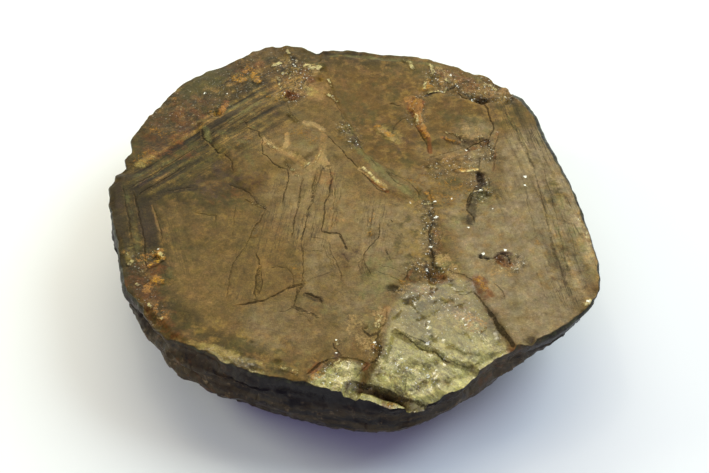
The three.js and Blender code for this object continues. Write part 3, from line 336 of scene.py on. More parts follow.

# Stains, tints and painted shade of the top face: for each, strokes of radius, strength and path.
tints = {
    # shade: painted shade in pits, cracks and hollows, along with darker patches of the stone
    "shade": [
        (1.8, 0.5, -25.4, 5, -24.8, -1, -23.6, -6), (1.6, 0.5, -22.4, -5.4, -21.8, -9, -20, -12),
        (1.8, 0.55, -22.4, 12.6, -20, 16.2, -17.4, 19.4), (1.3, 0.45, -13, 21.4, -10.6, 22.4),
        (2, 0.3, -15.6, 7, -13.6, 5), (0.5, 0.7, 13.2, 5.6, 12.4, 3.2, 12, 0),
        (0.4, 0.6, 8.2, 3, 7.7, -1.5, 8, -4), (0.5, 0.8, -7.2, 26.4, -7.2, 25.2),
        (0.3, 0.6, -8.4, 24.8, -8.9, 22.2, -8.3, 20.7), (0.32, 0.75, -17, 13.5, -14.2, 16.4, -10.8, 19.6),
        (0.3, 0.7, -15.6, 14.6, -12.2, 17.8, -9.3, 20.7), (0.2, 0.5, -16.4, 11.1, -21.4, 7),
        (0.4, 0.8, -17, 9.4, -23.4, 4.3), (0.4, 0.6, -24.8, 6.6, -21.3, 8.7),
        (0.2, 0.5, -16.3, 15.7, -14.2, 18.2), (0.18, 0.5, -14.5, 13.6, -10.7, 17.8),
        (0.6, 0.7, -24.1, 5.3, -23.4, 4), (0.4, 0.5, -26.6, 5.6, -25.8, 7.3),
        (0.25, 0.8, -4.8, 27.4, 0.4, 27), (0.25, 0.8, 7.9, 19.6, 9.4, 20.5, 11.4, 21.8),
        (0.3, 0.7, 11.7, 21.1, 12.6, 20.1), (0.4, 0.9, 12.9, 19.6, 14.4, 19.6),
        (0.4, 0.9, 13.3, 7.4, 13.5, 5.7), (0.18, 0.5, 16.5, 17, 19.4, 7.9),
        (0.15, 0.4, 16.9, 16.3, 19.4, 10.7), (0.9, 0.75, -22.9, 3.1, -22.1, -0.4, -21.4, -3.2),
        (0.5, 0.85, -22.6, 2.8, -20.4, 4.7, -17.5, 5.1), (0.16, 0.6, -23.9, 4.6, -22.9, 0.2, -21.6, -7.1),
        (0.5, 0.6, -26.3, 4.8, -25.7, -0.1), (0.5, 0.6, -23, -10.1, -21.5, -13.1, -19.9, -15.5),
        (0.35, 0.55, -13.5, 5.6, -11.8, 4.7, -10.8, 3.5, -9.5, 1.7), (0.3, 0.6, 7.1, 3.1, 8, 1.2),
        (0.45, 0.9, 8.1, -4.6, 8, -6.1), (0.4, 0.7, 6.9, -6.3, 7.8, -7.7), (0.55, 0.85, 3.4, -9.1, 4.3, -9.5),
        (0.4, 0.7, -5.2, -10.1, -3.8, -10.9), (0.3, 0.9, 13, -4.7, 13.6, -5.2),
        (0.2, 0.6, 11.8, 1.8, 12.3, -0.1), (0.4, 0.5, -12, -18.8, -8, -20.3),
        (0.3, 0.5, -17.3, -16.5, -15.2, -17.5), (0.14, 0.5, 20.5, 1.8, 22.4, -9.5),
        (0.12, 0.45, 21.8, 1.1, 23.4, -9.5),
    ],
    "rust": [
        (2.6, 0.45, -22.4, 11.6, -20.4, 15, -18.6, 17.6), (1.6, 0.25, -15.6, 5.4, -13.4, 4.6),
        (1.6, 0.5, -22.4, -7, -20, -12.6), (1.4, 0.55, -19.4, 17.1, -19.7, 13.5),
        (1.2, 0.4, -20.3, 11.1, -18.3, 10.4), (0.7, 0.6, -18.7, 18.2, -17.7, 17.1),
        (0.9, 0.5, -13.5, 24.8, -11.2, 25.2), (0.6, 1, -7.8, 20.2, -6.9, 19.6),
        (0.6, 0.6, -6.4, 23.3, -5.3, 22.2, -5.9, 23.7), (0.5, 0.8, -14.6, 18.7, -15.1, 17.3),
        (0.9, 0.3, -13.9, 10.1, -12.8, 8.7, -14.7, 7.3), (1.2, 0.55, 10, 24, 12.5, 22.9, 13, 21.8),
        (0.55, 1, 6.3, 19.2, 6.1, 17.8, 6.7, 16.9, 7.2, 18.5),
        (0.28, 0.9, 7, 14.9, 7.5, 13.8, 8, 12.6, 8.1, 10.8), (0.22, 1, 9.5, 12.9, 10.1, 12.7),
        (0.3, 0.7, 14.6, 12.4, 13.8, 11.9, 12.5, 11.5, 12, 10.8), (0.25, 0.9, 0.8, 7.5, 2, 5.9, 3.3, 4.5),
        (0.25, 0.5, 15.5, 13.5, 15.2, 10.7, 14.8, 7.9), (1.2, 0.65, -22.9, -8.3, -21.2, -10.1, -20.2, -11.3),
        (0.9, 0.6, -20.5, -6.8, -21.9, -6.5), (0.8, 0.6, -20.6, -11.9, -19.2, -13.7, -18.4, -15.2),
        (1, 0.3, -16.1, 5.1, -15.1, 3.5), (0.9, 0.25, -9.3, -0.1, -8.3, -0.8),
        (0.6, 0.3, -11.4, -11.3, -10.3, -11), (0.45, 0.55, -2.9, 5.8, -2.7, 7.2),
        (0.5, 0.45, 8.2, -1.7, 8.8, -4.3), (0.75, 0.6, 7.8, -7.4, 8.7, -7.8),
        (0.2, 0.8, 5.8, -6.8, 5.2, -8, 6, -8.3), (0.9, 0.7, 12.6, -8.3, 13.2, -10.1),
        (0.4, 0.5, 5.9, -9.5, 6.8, -10.1), (0.3, 0.7, 2.9, -11.9, 2.5, -12.8),
        (0.6, 0.8, 14.8, -5.2, 15.8, -6), (0.6, 0.35, 10.8, -11.7, 10.1, -12.1),
        (0.3, 0.5, 3, -12.3, 2.6, -13), (0.6, 0.6, 15.5, -16.9, 14.4, -18.4),
        (0.5, 0.7, -4.5, -20.2, -3.8, -19.3), (0.35, 0.7, 1.1, -19.2, 0.9, -19.7),
        (0.4, 0.8, 2.8, -22.9, 3.2, -23.5), (0.4, 0.6, 4.1, -22.2, 5.2, -22.4),
        (0.8, 0.3, -0.2, -16.3, 0.2, -17.7), (0.8, 0.4, -18.5, -15.7, -16.7, -16.7),
    ],
    "sand": [
        (0.24, 1, -10.3, 12.4, -9.2, 11.6, -8.3, 10.8, -7.8, 11, -7.6, 12.2, -7.5, 13),
        (0.3, 1, -7.3, 10.1, -6.2, 9.6, -5.4, 8.6), (0.55, 1, -5, 7.9, -4.1, 8.7, -3.7, 9.7),
        (0.4, 1, -3.5, 9.3, -3.3, 8.1), (0.4, 1, -5.5, 14.9, -4.6, 14.9, -3.8, 14.3),
        (0.34, 1, 0.5, 8, 1.6, 6.8, 2.6, 5.7, 3.2, 5), (0.4, 1, 2.7, 14.5, 3.8, 13.6, 4.1, 13.1),
        (0.3, 0.9, 7, 16.6, 7.2, 15), (0.25, 0.8, 11.2, 8.1, 13, 8.2), (1.2, 0.5, 12.6, 13.6, 13.6, 12.6),
        (0.5, 0.7, 9.4, 24.6, 10.6, 23.2), (0.6, 0.8, -5.6, 24.8, -4.6, 24),
        (0.8, 0.7, 10.6, -12.6, 12, -13.8), (0.7, 0.6, 2.2, -12.4, 2.4, -14.8),
        (0.5, 0.7, 5.4, -8.9, 4.4, -9.6), (1.2, 0.4, 15.4, -6.6, 14.4, -8), (0.9, 0.6, 8.8, -5.2, 10, -7),
        (1.6, 0.5, 0, -14, 1, -16),
    ],
    "copper": [
        (0.7, 1, 6.1, 19.3, 6.6, 18), (0.55, 1, 6.9, 18.8, 6.9, 17), (0.4, 1, 6.7, 17, 7.2, 15.2),
        (0.3, 1, 7.2, 15.4, 7.9, 13.2), (0.25, 0.8, 9.5, 12.9, 11.3, 12.4),
        (0.5, 0.7, -15.2, 17, -14.7, 18.4), (0.7, 0.6, -22.4, -5, -20.6, -4.4),
        (0.6, 0.7, -20.6, -8, -21.6, -9.4), (0.7, 0.7, -20.4, -11.6, -19.6, -13),
        (0.5, 0.6, -12.9, 23.6, -11.8, 24.6),
    ],
    "butter": [
        (0.5, 0.8, -16.8, -16.6, -14.2, -17.3, -12, -18.1), (0.35, 0.55, -12.4, -18.2, -9.6, -19.2),
        (0.7, 0.6, -22.6, 9.8, -23.6, 8.8), (0.6, 0.6, -24, -3.6, -23.4, -5.6), (1, 0.5, 3, 14.4, 4.6, 13.2),
        (0.9, 0.5, -5.6, 20.8, -4.4, 19.4),
    ],
    "ochre": [
        (0.9, 0.55, -22.7, 10.7, -23.5, 9.3), (0.7, 0.45, -20.3, 20, -20.8, 18.9),
        (1, 0.4, -23, 14.6, -20.4, 13.2), (0.55, 1, -13.7, 23.1, -12.9, 22.6),
        (0.5, 1, -11.6, 23.7, -11.3, 22.4), (0.8, 0.5, -12.5, 25.6, -12.2, 24.5),
        (0.3, 0.7, -16.4, 17.3, -15.4, 17.1), (0.2, 0.8, -8.8, 19.4, -8.9, 18.9),
        (0.2, 0.7, -9.9, 19.6, -9.7, 19.6), (0.8, 0.4, -12, 12.5, -13, 11.8),
        (0.9, 0.45, -6.9, 13.2, -5.7, 13.9, -4.7, 12.5), (0.45, 0.8, 8.1, 22.4, 7.6, 20.9, 8.4, 21.4),
        (0.4, 0.5, 9.5, 22.9, 9.7, 21.8), (0.3, 0.8, 6.2, 17.4, 6.6, 18.9), (0.25, 0.7, 7.2, 14.2, 7.7, 13.1),
        (0.5, 0.7, 2.4, 14.9, 3.3, 14, 4, 13.5), (0.2, 1, 9.8, 12.8, 11.3, 12.3),
        (0.25, 0.8, 1.8, 6.4, 3.2, 4.9), (1.6, 0.4, 8, 6.6, 10.8, 5.2, 8.9, 3.9),
        (0.8, 0.5, 5.4, 7.2, 6.1, 5.2), (0.4, 0.7, 10.9, 8.2, 12.9, 8.1), (0.4, 0.6, -24, -4.3, -23.5, -5.2),
        (0.3, 0.9, -20.6, -4.6, -20.1, -5.2, -20.8, -6, -21.4, -6.3), (0.4, 1, -20.9, -8.1, -20.2, -8.3),
        (0.4, 0.45, -10.6, -0.9, -10.8, -1.7), (0.35, 0.5, 1.8, 1.5, 1.4, -0.4, 1.3, -1.7),
        (0.35, 0.8, 7.4, 4.8, 8.1, 3.5), (0.25, 0.6, 4.6, -8.3, 5.5, -8.9), (0.6, 0.6, 12.6, -8, 13, -9.2),
        (0.8, 0.7, 11, -13.7, 12.3, -14.3), (0.5, 0.5, 6.8, -8.9, 6.6, -10.1),
        (0.8, 0.35, -6.2, -6.5, -5.5, -7.7), (0.8, 0.7, 11.5, -12.8, 12.5, -13.7),
        (0.5, 0.9, -4.2, -20.9, -3.6, -20.5), (0.4, 0.8, 3.4, -22.9, 4.4, -23.2),
        (0.35, 0.7, 1.7, -16.7, 1.8, -17.1), (0.9, 0.25, 18.3, -0.4, 19.2, -2.5),
    ],
    "tan": [
        (1.6, 0.7, -5.8, 21.1, -4.3, 20.4), (0.5, 0.8, -15.9, 16.9, -15.4, 16.5),
        (0.3, 0.9, -10.3, 11.8, -8.3, 10.7, -7.5, 11.5, -7.6, 12.9),
        (0.4, 0.85, -8.2, 10.6, -6.6, 9.4, -5.3, 8, -4.4, 8.7, -3.8, 10.1, -3.6, 12.9),
        (1.1, 0.5, -6.1, 7.3, -3.6, 6.6), (0.4, 0.8, -5.4, 14.7, -4.2, 14.3, -3.8, 13.9),
        (0.9, 0.6, 12.9, 21.4, 15.4, 21.1, 16.7, 21.1), (0.9, 0.4, 10, 9.3, 11.2, 10),
        (0.16, 0.6, -21.9, 2.5, -20.2, -3.3), (0.5, 0.6, -21.6, -11, -20.7, -11.3),
        (2.2, 0.25, -16.8, -7.7, -13.4, -11.3), (1.8, 0.35, -0.9, 3.8, 1.2, 4.8, -0.9, 1.2),
        (0.3, 0.5, -2.4, 5.1, -2.8, -0.8), (0.9, 0.5, 7.7, -9.5, 6.9, -8.3), (1, 0.4, 12.9, -6.1, 15.2, -7.1),
        (2.5, 0.3, 10.7, -2.7, 14, -2.1), (1.2, 0.4, 10.6, -8.8, 10.2, -11.2),
        (0.4, 0.7, 2.4, -13.7, 3.1, -12.1), (0.5, 0.5, 24.9, -4, 25, -8.8), (1.4, 0.25, 19.1, -4, 19.3, -9.5),
    ],
    "cream": [
        (0.2, 0.8, -8.4, 24.1, -7.6, 23.7, -7.6, 22.6), (0.2, 0.7, -9, 23.3, -8.7, 21.3),
        (0.25, 0.8, -8.7, 26, -9.5, 25.2), (0.45, 0.9, -5.8, 25.2, -5.1, 24.5, -4.2, 24.3),
        (0.25, 0.9, -8, 28.1, -7.7, 27.5), (0.3, 0.9, -15.8, 16.5, -15.6, 16.2),
        (0.15, 0.7, -10, 11.8, -8.3, 10.7), (0.15, 0.6, -5.6, 8.4, -4.4, 8.7, -3.9, 10.4),
        (0.12, 0.8, -7.8, 9, -6.3, 7), (0.15, 0.7, -7.6, 16.3, -6.9, 15.4, -6.4, 14.8),
        (0.25, 0.8, 5.5, 26, 6.2, 25.6, 6.5, 24.6), (0.3, 0.9, 8.5, 25, 8.7, 23.9),
        (0.2, 0.8, 7.9, 22.5, 7.7, 20.9), (0.3, 0.8, 10.2, 22.9, 10.5, 22.5),
        (0.15, 0.8, 8.1, 20.1, 9.8, 20.7, 10.4, 21.2), (0.35, 0.7, 14.7, 22.2, 15.7, 21.6),
        (0.22, 0.9, 6.7, 16.5, 6.9, 15.4), (0.14, 0.8, 9.8, 13.8, 10.7, 13.6, 11.8, 12.6),
        (0.15, 0.8, 11.6, 12.1, 12.5, 11.4), (0.2, 0.8, -3.2, 19.9, -2.2, 18.8),
        (0.16, 0.8, -2.8, 21.4, -3.2, 22.5), (0.22, 0.9, 0.7, 8.1, 1.6, 7, 2.4, 5.9),
        (0.2, 0.8, 11.5, 7.9, 13.2, 8.1), (0.12, 0.7, 7.6, 8.7, 8.8, 8.6), (0.16, 0.7, 12.2, 4.7, 14.1, 4.5),
        (0.25, 0.8, -23.6, -6, -23.2, -5.5), (0.2, 0.7, -24.1, -4.3, -23.8, -4.6),
        (0.2, 0.8, -20.4, -4.4, -20.1, -4.9), (0.15, 0.9, -21.2, -4.2, -21.1, -4.3),
        (0.2, 0.8, -22.5, -8.7, -22.4, -8.8), (0.25, 0.7, -21.1, -11.5, -20.8, -11.8),
        (0.3, 0.6, -20.1, -13, -19.6, -13.3), (0.1, 0.6, -11.7, 3.5, -11, 2.8, -9.8, 2.2),
        (0.16, 0.8, 6.9, 2.8, 8.6, 3), (0.4, 0.6, 10.8, -13.4, 12.1, -14), (0.3, 0.7, 2.3, -13.1, 2.1, -14.3),
        (0.35, 0.7, 10.8, -13.3, 11.8, -13.7), (0.5, 0.6, 12.6, -14.7, 13.4, -16.5),
        (0.3, 0.7, 7.6, -10.4, 8.1, -10.6), (0.3, 0.7, 7.3, -13.7, 7.3, -14.4),
        (0.25, 0.6, 7.1, -15.6, 7.3, -15.9), (0.8, 0.5, 3.4, -17.9, 2.4, -18.8),
        (0.9, 0.8, -1.7, -19.5, -0.9, -19.4, -1.5, -21.3), (0.35, 0.8, 4.9, -19.1, 6.3, -19.2),
        (0.6, 0.5, 3.1, -18.3, 3.6, -18.8), (0.5, 0.5, 5.2, -21.2, 5.9, -21),
        (0.35, 0.7, 1.2, -22.3, 1.6, -22.8), (0.3, 0.7, 6.1, -22.9, 6.9, -22.8),
        (0.2, 0.7, -2, -16.3, -1.9, -16.7), (0.3, 0.6, -7.4, -19.8, -6, -20.4),
        (0.2, 0.5, 23.4, 1.1, 24.6, -3.2), (0.3, 0.8, 23.3, -11.4, 23.8, -11),
    ],
    "olive": [
        (0.8, 0.7, -24.5, 11.8, -24.2, 10.4), (1.6, 0.8, -17.2, 22.2, -16, 23.7, -18.9, 20.4),
        (1.4, 0.6, -17.8, 11.1, -19.4, 9, -16.7, 9), (1.2, 0.5, -21.3, 9, -19.3, 7.6),
        (1.6, 0.5, 10.2, 16, 12.7, 15.2), (1.6, 0.5, -1.7, 20.7, 0.8, 17), (1.4, 0.4, 2.9, 21.1, 4.2, 24),
        (0.7, 0.5, 1.5, 9.7, 3.7, 6.3), (0.7, 0.6, -24.3, -3, -23.9, -4.6),
        (1.2, 0.5, -14.1, 3.5, -12.7, 2.8), (0.6, 0.4, -14.9, -4.9, -15.1, -5.2),
        (1.6, 0.3, -18.8, -2.1, -17.4, -5.2), (1.5, 0.3, -18.2, -11.9, -15.2, -12.8),
        (1.4, 0.4, 6.1, -0.8, 5.1, -3, 6.6, 1.2), (1, 0.5, 1.2, -7.7, 2.3, -8.9),
        (1.2, 0.35, -3.9, -7.7, -2.3, -8.9), (0.9, 0.4, 2, -20.1, 1.2, -21),
        (0.8, 0.5, 0.3, -15.4, -0.9, -16.3), (1.4, 0.3, 4.5, -16.8, 3.1, -15.9),
        (0.7, 0.5, -11.2, -18.5, -8.6, -19.3), (1.2, 0.4, -13, -17.3, -9.4, -18.2),
        (0.5, 0.5, 20.5, 8.6, 21.8, 4),
    ],
    "greyGreen": [
        (1.6, 0.6, 2.4, -5.5, 1.4, -9.6), (1.2, 0.5, 2.8, -9, 1.6, -14), (1, 0.6, 8.4, -5.4, 10, -6.4),
        (0.35, 0.7, -14.1, 15.1, -10.8, 18.5), (0.3, 0.5, -24.1, 7, -20.1, 9.4),
        (0.25, 0.6, -15.2, 16.4, -12.3, 19.3), (0.3, 0.9, -16.8, 14.4, -16.4, 13.6, -16.2, 12.1),
        (1.6, 0.35, -13.9, 11.4, -11.9, 8.7, -14, 12.8), (1.4, 0.35, -9.6, 14.3, -12.1, 15.7),
        (0.25, 0.6, -25.2, 6, -24.4, 2.6), (0.8, 0.5, -6.1, 11.4, -5.1, 11),
        (0.3, 0.8, -3.2, 27.1, 2.4, 26.5, 5.5, 26, 9.5, 25, 14, 23.1), (1.2, 0.4, 12.7, 16, 13.6, 13.8),
        (0.55, 0.7, -0.9, 14.6, 0.6, 10.7, 2.5, 7.6, 4.4, 5.6, 6.5, 3.6),
        (1, 0.8, 12.7, 4.2, 13.8, 3.2, 13.7, 4.9), (0.4, 0.5, 17.2, 16, 18.8, 10),
        (0.3, 0.5, -24.9, 5.1, -23.6, -0.4, -22.2, -6.5), (0.2, 0.5, -23.8, 5.6, -21.3, 7.5),
        (0.5, 0.5, -19.4, -6.9, -19.1, -7.7), (0.5, 0.8, 8.6, -5.2, 9, -6.5),
        (1, 0.5, 2.8, -6.5, 5.1, -6.5, 3, -8.3), (0.5, 0.6, 9.7, -6.5, 11.5, -7.4),
        (0.7, 0.5, -4.5, -11.6, -3.4, -12.2), (1, 0.35, 9.4, -0.4, 11.8, -0.1),
        (0.9, 0.5, 12.6, 3.1, 13.3, 1.8), (1, 0.5, 5.9, -11.2, 4.9, -12.9), (2, 0.3, 9.1, -15.9, 11, -16.8),
        (0.6, 0.6, 0.2, -19, -0.4, -20.2), (1.6, 0.4, 8.4, -21.1, 7, -21.6),
        (0.6, 0.4, -10.3, -19.6, -7.8, -20.6), (0.9, 0.45, 21.7, 3.3, 23, -1.8, 24.1, -6.8),
        (0.3, 0.5, 21.1, -0.4, 22.1, -8.4),
    ],
    "violet": [
        (1.2, 0.5, -22.1, 13.2, -21.6, 12.1), (0.9, 0.5, -19.3, 15.3, -19, 14.6),
        (1, 0.4, -22.9, 7.6, -23.3, 5.9), (1.3, 0.4, -14.8, 8.3, -13.7, 6.6, -10.3, 6),
        (1, 0.35, -11, 17.8, -9.7, 16.4), (0.4, 0.8, 13.9, 19.8, 14.3, 19), (1.2, 0.35, 5.7, 13.5, 4.7, 12.1),
        (0.8, 0.35, 4, 15.6, 5, 15.2), (0.45, 0.8, -0.6, 14, 0.2, 11.7), (0.55, 0.9, 13.3, 7.2, 13.4, 5.9),
        (0.9, 0.6, -22.5, 1.2, -21.8, -2.1), (0.5, 0.5, -25.8, 5.8, -25.3, 1.2),
        (1.3, 0.45, -17.1, 5.8, -15.6, 4.5, -13.8, 6.5), (0.8, 0.35, -10.9, 6.8, -10, 6.1),
        (0.9, 0.3, -13.4, -11.6, -12.5, -12.8), (0.8, 0.25, 3.4, 5.8, 4.3, 3.8), (1, 0.3, 0, -3, -0.9, -5.8),
        (0.5, 0.6, 7.4, -6.5, 6.9, -5.8), (0.4, 0.8, 14.6, -4.7, 15.8, -4.4),
        (0.8, 0.35, 9.8, -11.8, 10.5, -11.5), (1.6, 0.3, 9, -8.8, 8.4, -9.7),
        (0.5, 0.5, -2, -18.4, -1.8, -17.7), (0.8, 0.3, 20.7, -4, 20.8, -9.5),
    ],
    # the broad zones of the ground colour; the ashen zone's paler, greyer tone is partly a painted sheen
    "deep": [
        (3.4, 1.1, -24.5, 6, -24, 0, -22.6, -7), (4.2, 0.9, -24, 13, -20, 18, -14, 22),
        (4, 0.7, -20, 8, -15, 12), (2, 0.4, -13, 15, -9, 18), (3.5, 0.85, -21, 5, -15, 5),
        (3, 0.4, -19, -1, -14, -2), (1.6, 0.5, 7.5, 0, 7.7, -3), (2.2, 0.7, -8, 26, -3, 27, 3, 26),
        (2.6, 0.8, -22, -9, -18, -14), (1.4, 0.6, -15.6, -15.8, -10, -17.4),
        (1.6, 0.6, 5, -9.8, 8, -9.6, 11, -9.6),
    ],
    "umber": [
        (4, 0.9, -22, 12, -19, 18, -12, 23), (4.5, 0.8, -2, 22, 3, 20, 4, 13), (3, 0.8, 10, 16, 12, 18),
        (2.6, 0.8, -16, 7, -13.4, 5), (2.4, 0.6, 9, 9, 10, 6),
    ],
    # ashen: paler, greyer ground, partly the stone's colour and partly a painted sheen
    "ashenSheen": [
        (4.5, 1, 20, 10, 21, -2, 20, -8), (4.4, 0.95, 14, -1, 15.4, -8, 18, -13),
        (4, 0.45, -8, -14, -2, -14, 2, -8, 3, -2), (2.2, 0.5, -3.4, -9, -3.3, -5),
        (2.2, 0.6, 11.2, 3, 11.4, -3), (3, 0.5, 13, 13, 15.5, 6),
    ],
    "pale": [
        (2, 0.5, 8, 11.5, 11.5, 11.5), (2, 0.6, 2.4, 6.6, 6.4, 6.6), (2, 0.4, 6, 7, 11, 7),
        (2.5, 0.4, -10, 12, -7, 11), (5, 0.75, -5, 4, -2, 0, 4, -2), (3, 0.5, -7, 12, -3, 9),
    ],
    "mixed": [
        (3, 0.8, -3, 25, 6, 24), (4, 0.9, -22, 14, -18, 20, -9, 25), (4, 0.3, -18, 8, -10, 16),
        (4, 0.9, 8, 20, 15, 19), (4, 0.7, 3, 14, 8, 8, 12, 4), (2.5, 0.7, -22, -3, -21, -10),
        (3, 0.8, -16, -17, -6, -20), (3, 0.8, 7, 2, 7.5, -8), (2.5, 0.5, 22, 4, 23, -8),
    ],
    # where growth bands show: hatched across the far left corner, striped along the two sides, lined between
    "hatched": [
        (3.4, 1, -22, 7.5, -16.5, 13, -9.5, 20), (2.2, 0.8, -20.5, 6.5, -16, 10.5),
        (2.4, 0.7, -14, 22, -10, 24.5), (2.6, 0.6, -12.5, 12.5, -9, 16.5),
    ],
    "striped": [
        (3.2, 1, 18.6, 17, 20.8, 9, 22.4, 1, 22.8, -9), (1.6, 0.5, 15.5, 8, 17.5, -3),
        (2, 1, -24.2, 4.5, -23.4, -1, -22, -6), (2.4, 0.5, -20.4, 2, -19, -6),
    ],
    "lined": [
        (2.2, 1, -3.6, 7, -4.6, 3, -5.4, -2), (2.2, 0.7, -8.4, 4, -9.6, -2), (2.4, 0.7, -10.6, -4, -11.4, -9),
        (2, 0.6, 1.6, 2, 1.4, -4),
    ],
    # where the face is broken into small shards
    "shards": [
        (3.2, 0.25, -19.8, 17, -13, 23.4, -9, 25.4), (2, 0.8, 9.6, 22.6, 13.2, 21.6, 16.6, 20.6),
        (1.6, 0.9, -7.6, 25, -6.4, 22.6, -7.4, 20), (1.2, 0.7, 13.4, 4, 13, 6.4),
        (0.9, 0.8, 7.4, 2.6, 7.8, -1, 7.7, -4), (1.3, 0.8, 6.6, -6.4, 8.4, -7.4),
        (1.6, 0.5, 8.8, 8.4, 11.8, 9.6), (1, 0.7, 14, 12, 14.6, 10), (1.1, 0.8, 15.2, -5.4, 16.4, -5.8),
        (1.2, 0.25, -22.4, -5, -22, -9.6, -20.4, -13), (1.4, 0.7, 2.4, -17.6, 4.6, -19.6, 6.6, -20),
        (1.3, 0.8, -2.4, -20.2, -1, -21.8), (1.2, 0.7, 1, -23.6, 7.6, -24.6),
        (1.2, 0.5, 5.4, -10, 8, -9.6, 9.6, -12), (1, 0.15, -14.6, -18, -10, -19.4),
        (1.2, 0.5, 6.9, 19, 6.7, 16), (1, 0.5, -1.2, 14.6, -0.2, 12),
    ],
}

fineness = {
    "latticeSide": 32, "warp": 0.12, "swell": 0.07, "ripple": 0.02, "shardHeight": 0.13,
    "chipWave": 0.08, "chipWaveLength": 2.3, "chipWaveMiddle": (19.0, 4.0), "chipFacets": 0.1,
    "chipSwell": 0.16, "edgeCrumble": 0.22, "edgeReach": 0.7, "flakeSpread": 0.85, "cornerSoftness": 0.3,
}
lattice = np.random.default_rng(11).random((fineness["latticeSide"],) * 3)
shardTable = np.random.default_rng(12).random((fineness["latticeSide"],) * 3 + (7,))


def smooth(value):
    # from 0 to 1 with level ends: 3 t^2 - 2 t^3
    value = np.clip(value, 0, 1)
    return value * value * (3 - 2 * value)


def noise(points, size, seed=0):
    # numbers on a lattice of that spacing, blended smoothly between the eight nearest; from -1 to 1
    place = points / size + 5.37 * seed
    cell = np.floor(place).astype(int)
    part = smooth(place - cell)
    total = np.zeros(len(points))
    for corner in np.ndindex(2, 2, 2):
        index = (cell + corner) % fineness["latticeSide"]
        weight = np.prod(np.where(np.array(corner) == 1, part, 1 - part), axis=1)
        total += weight * lattice[index[:, 0], index[:, 1], index[:, 2]]
    return 2 * total - 1


def fractalNoise(points, size, octaves, seed=0):
    # each octave half the size and half the height of the one before
    return sum(noise(points, size / 2 ** k, seed + k) / 2 ** k for k in range(octaves))


def shards(points, size, seed=0):
    # the nearest of a lattice of jittered centres gives each point a tilted plane of its own
    place = points / size + 3.91 * seed
    base = np.floor(place).astype(int)
    nearest = np.full(len(points), 99.0)
    height = np.zeros(len(points))
    for offset in np.ndindex(3, 3, 3):
        cell = base + np.array(offset) - 1
        index = cell % fineness["latticeSide"]
        own = shardTable[index[:, 0], index[:, 1], index[:, 2]]
        away = place - cell - own[:, :3]
        distance = (away ** 2).sum(1)
        plane = ((own[:, 3:6] * 2 - 1) * away).sum(1) + own[:, 6] - 0.5
        height = np.where(distance < nearest, plane, height)
        nearest = np.minimum(distance, nearest)
    return height


def cross(a, b):
    # the upright part of the cross product of two flat vectors
    return a[..., 0] * b[..., 1] - a[..., 1] * b[..., 0]


def alongPath(points, path):
    # distance to the nearest leg of a path, its side (1 left of it, -1 right), and how far along, from 0 to 1
    corners = np.array(path if len(path) > 1 else path * 2, float)
    lengths = np.maximum(np.linalg.norm(np.diff(corners, axis=0), axis=1), 1e-9)
    before = np.concatenate([[0], np.cumsum(lengths)])
    nearest = np.full(len(points), 1e9)
    side = np.ones(len(points))
    fraction = np.zeros(len(points))
    for start, end, length, run in zip(corners[:-1], corners[1:], lengths, before):
        leg = (end - start) / length
        t = np.clip((points - start) @ leg, 0, length)
        off = points - start - t[:, None] * leg
        distance = np.hypot(off[:, 0], off[:, 1])
        closer = distance < nearest
        nearest = np.where(closer, distance, nearest)
        side = np.where(closer, np.sign(cross(leg, off)), side)
        fraction = np.where(closer, (run + t) / before[-1], fraction)
    return nearest, side, fraction


def insideDistance(points, corners):
    # distance to the outline, above zero inside it: a ray to the right crosses an odd number of its sides
    closed = [corner[:2] for corner in corners + corners[:1]]
    distance = alongPath(points, closed)[0]
    x, y = points.T
    odd = np.zeros(len(points), bool)
    for (ax, ay), (bx, by) in zip(closed[:-1], closed[1:]):
        odd ^= ((ay > y) != (by > y)) & (x < ax + (y - ay) * (bx - ax) / ((by - ay) or 1.0))
    return np.where(odd, distance, -distance)


def faceHeight(points, area):
    # the mean of the corners' heights, each weighted by one over its distance squared, softened close by
    knots = np.array(area["corners"] + ([area["middle"]] if "middle" in area else []))
    total = np.zeros(len(points))
    weights = np.zeros(len(points))
    for knot in knots:
        weight = 1 / (((points - knot[:2]) ** 2).sum(1) + fineness["cornerSoftness"])
        total += weight * knot[2]
        weights += weight
    return total / weights


def pairs(numbers):
    # a path written as x, y, x, y, point by point
    return list(zip(numbers[::2], numbers[1::2]))


def closeTo(points, path, reach):
    # which points lie in the box round a path, widened by reach
    corners = np.array(path, float)
    return np.all((points > corners.min(0) - reach) & (points < corners.max(0) + reach), axis=1)


def strokes(points, marks):
    # the strongest mark at each point; a mark is full to half its radius and gone at one and a half
    strength = np.zeros(len(points))
    for radius, full, *numbers in marks:
        path = pairs(numbers)
        near = closeTo(points, path, 1.5 * radius)
        distance = alongPath(points[near], path)[0]
        strength[near] = np.maximum(strength[near], full * smooth(1.5 - distance / radius))
    return strength


def flatten(points):
    return np.column_stack([points, np.zeros(len(points))])


def outlineRadius(angle):
    # where a ray from the middle meets the rim: cross(corner, leg) / cross(ray, leg)
    corners = np.array(rim)
    bearing = np.arctan2(corners[:, 1], corners[:, 0]) % fullTurn
    order = np.argsort(bearing)
    corners, bearing = corners[order], bearing[order]
    after = np.searchsorted(bearing, angle % fullTurn, side="right") % len(corners)
    leg = corners[after] - corners[after - 1]
    ray = np.stack([np.cos(angle), np.sin(angle)], -1)
    return cross(corners[after - 1], leg) / cross(ray, leg)


def arc(angle, middle, width):
    # a hump of 1 at one bearing, falling off over so many degrees
    away = (np.degrees(angle) - middle + 180) % 360 - 180
    return np.exp(-(away / width) ** 2)


def rimRadius(angle):
    # the outline, less breaks that are larger at a few bearings, and a little wider towards the far side
    ring = flatten(crystal["breakRing"] * np.stack([np.cos(angle), np.sin(angle)], -1))
    humps = (most * arc(angle, bearing, width) for most, bearing, width in rimBreaks)
    broken = sum(humps, crystal["rimPlain"])
    breakage = broken * (noise(ring, 1.3, 1) + 0.7 * noise(ring, 0.55, 2) - 0.5)
    return outlineRadius(angle) + breakage + crystal["farSwell"] * np.maximum(0, np.sin(angle))


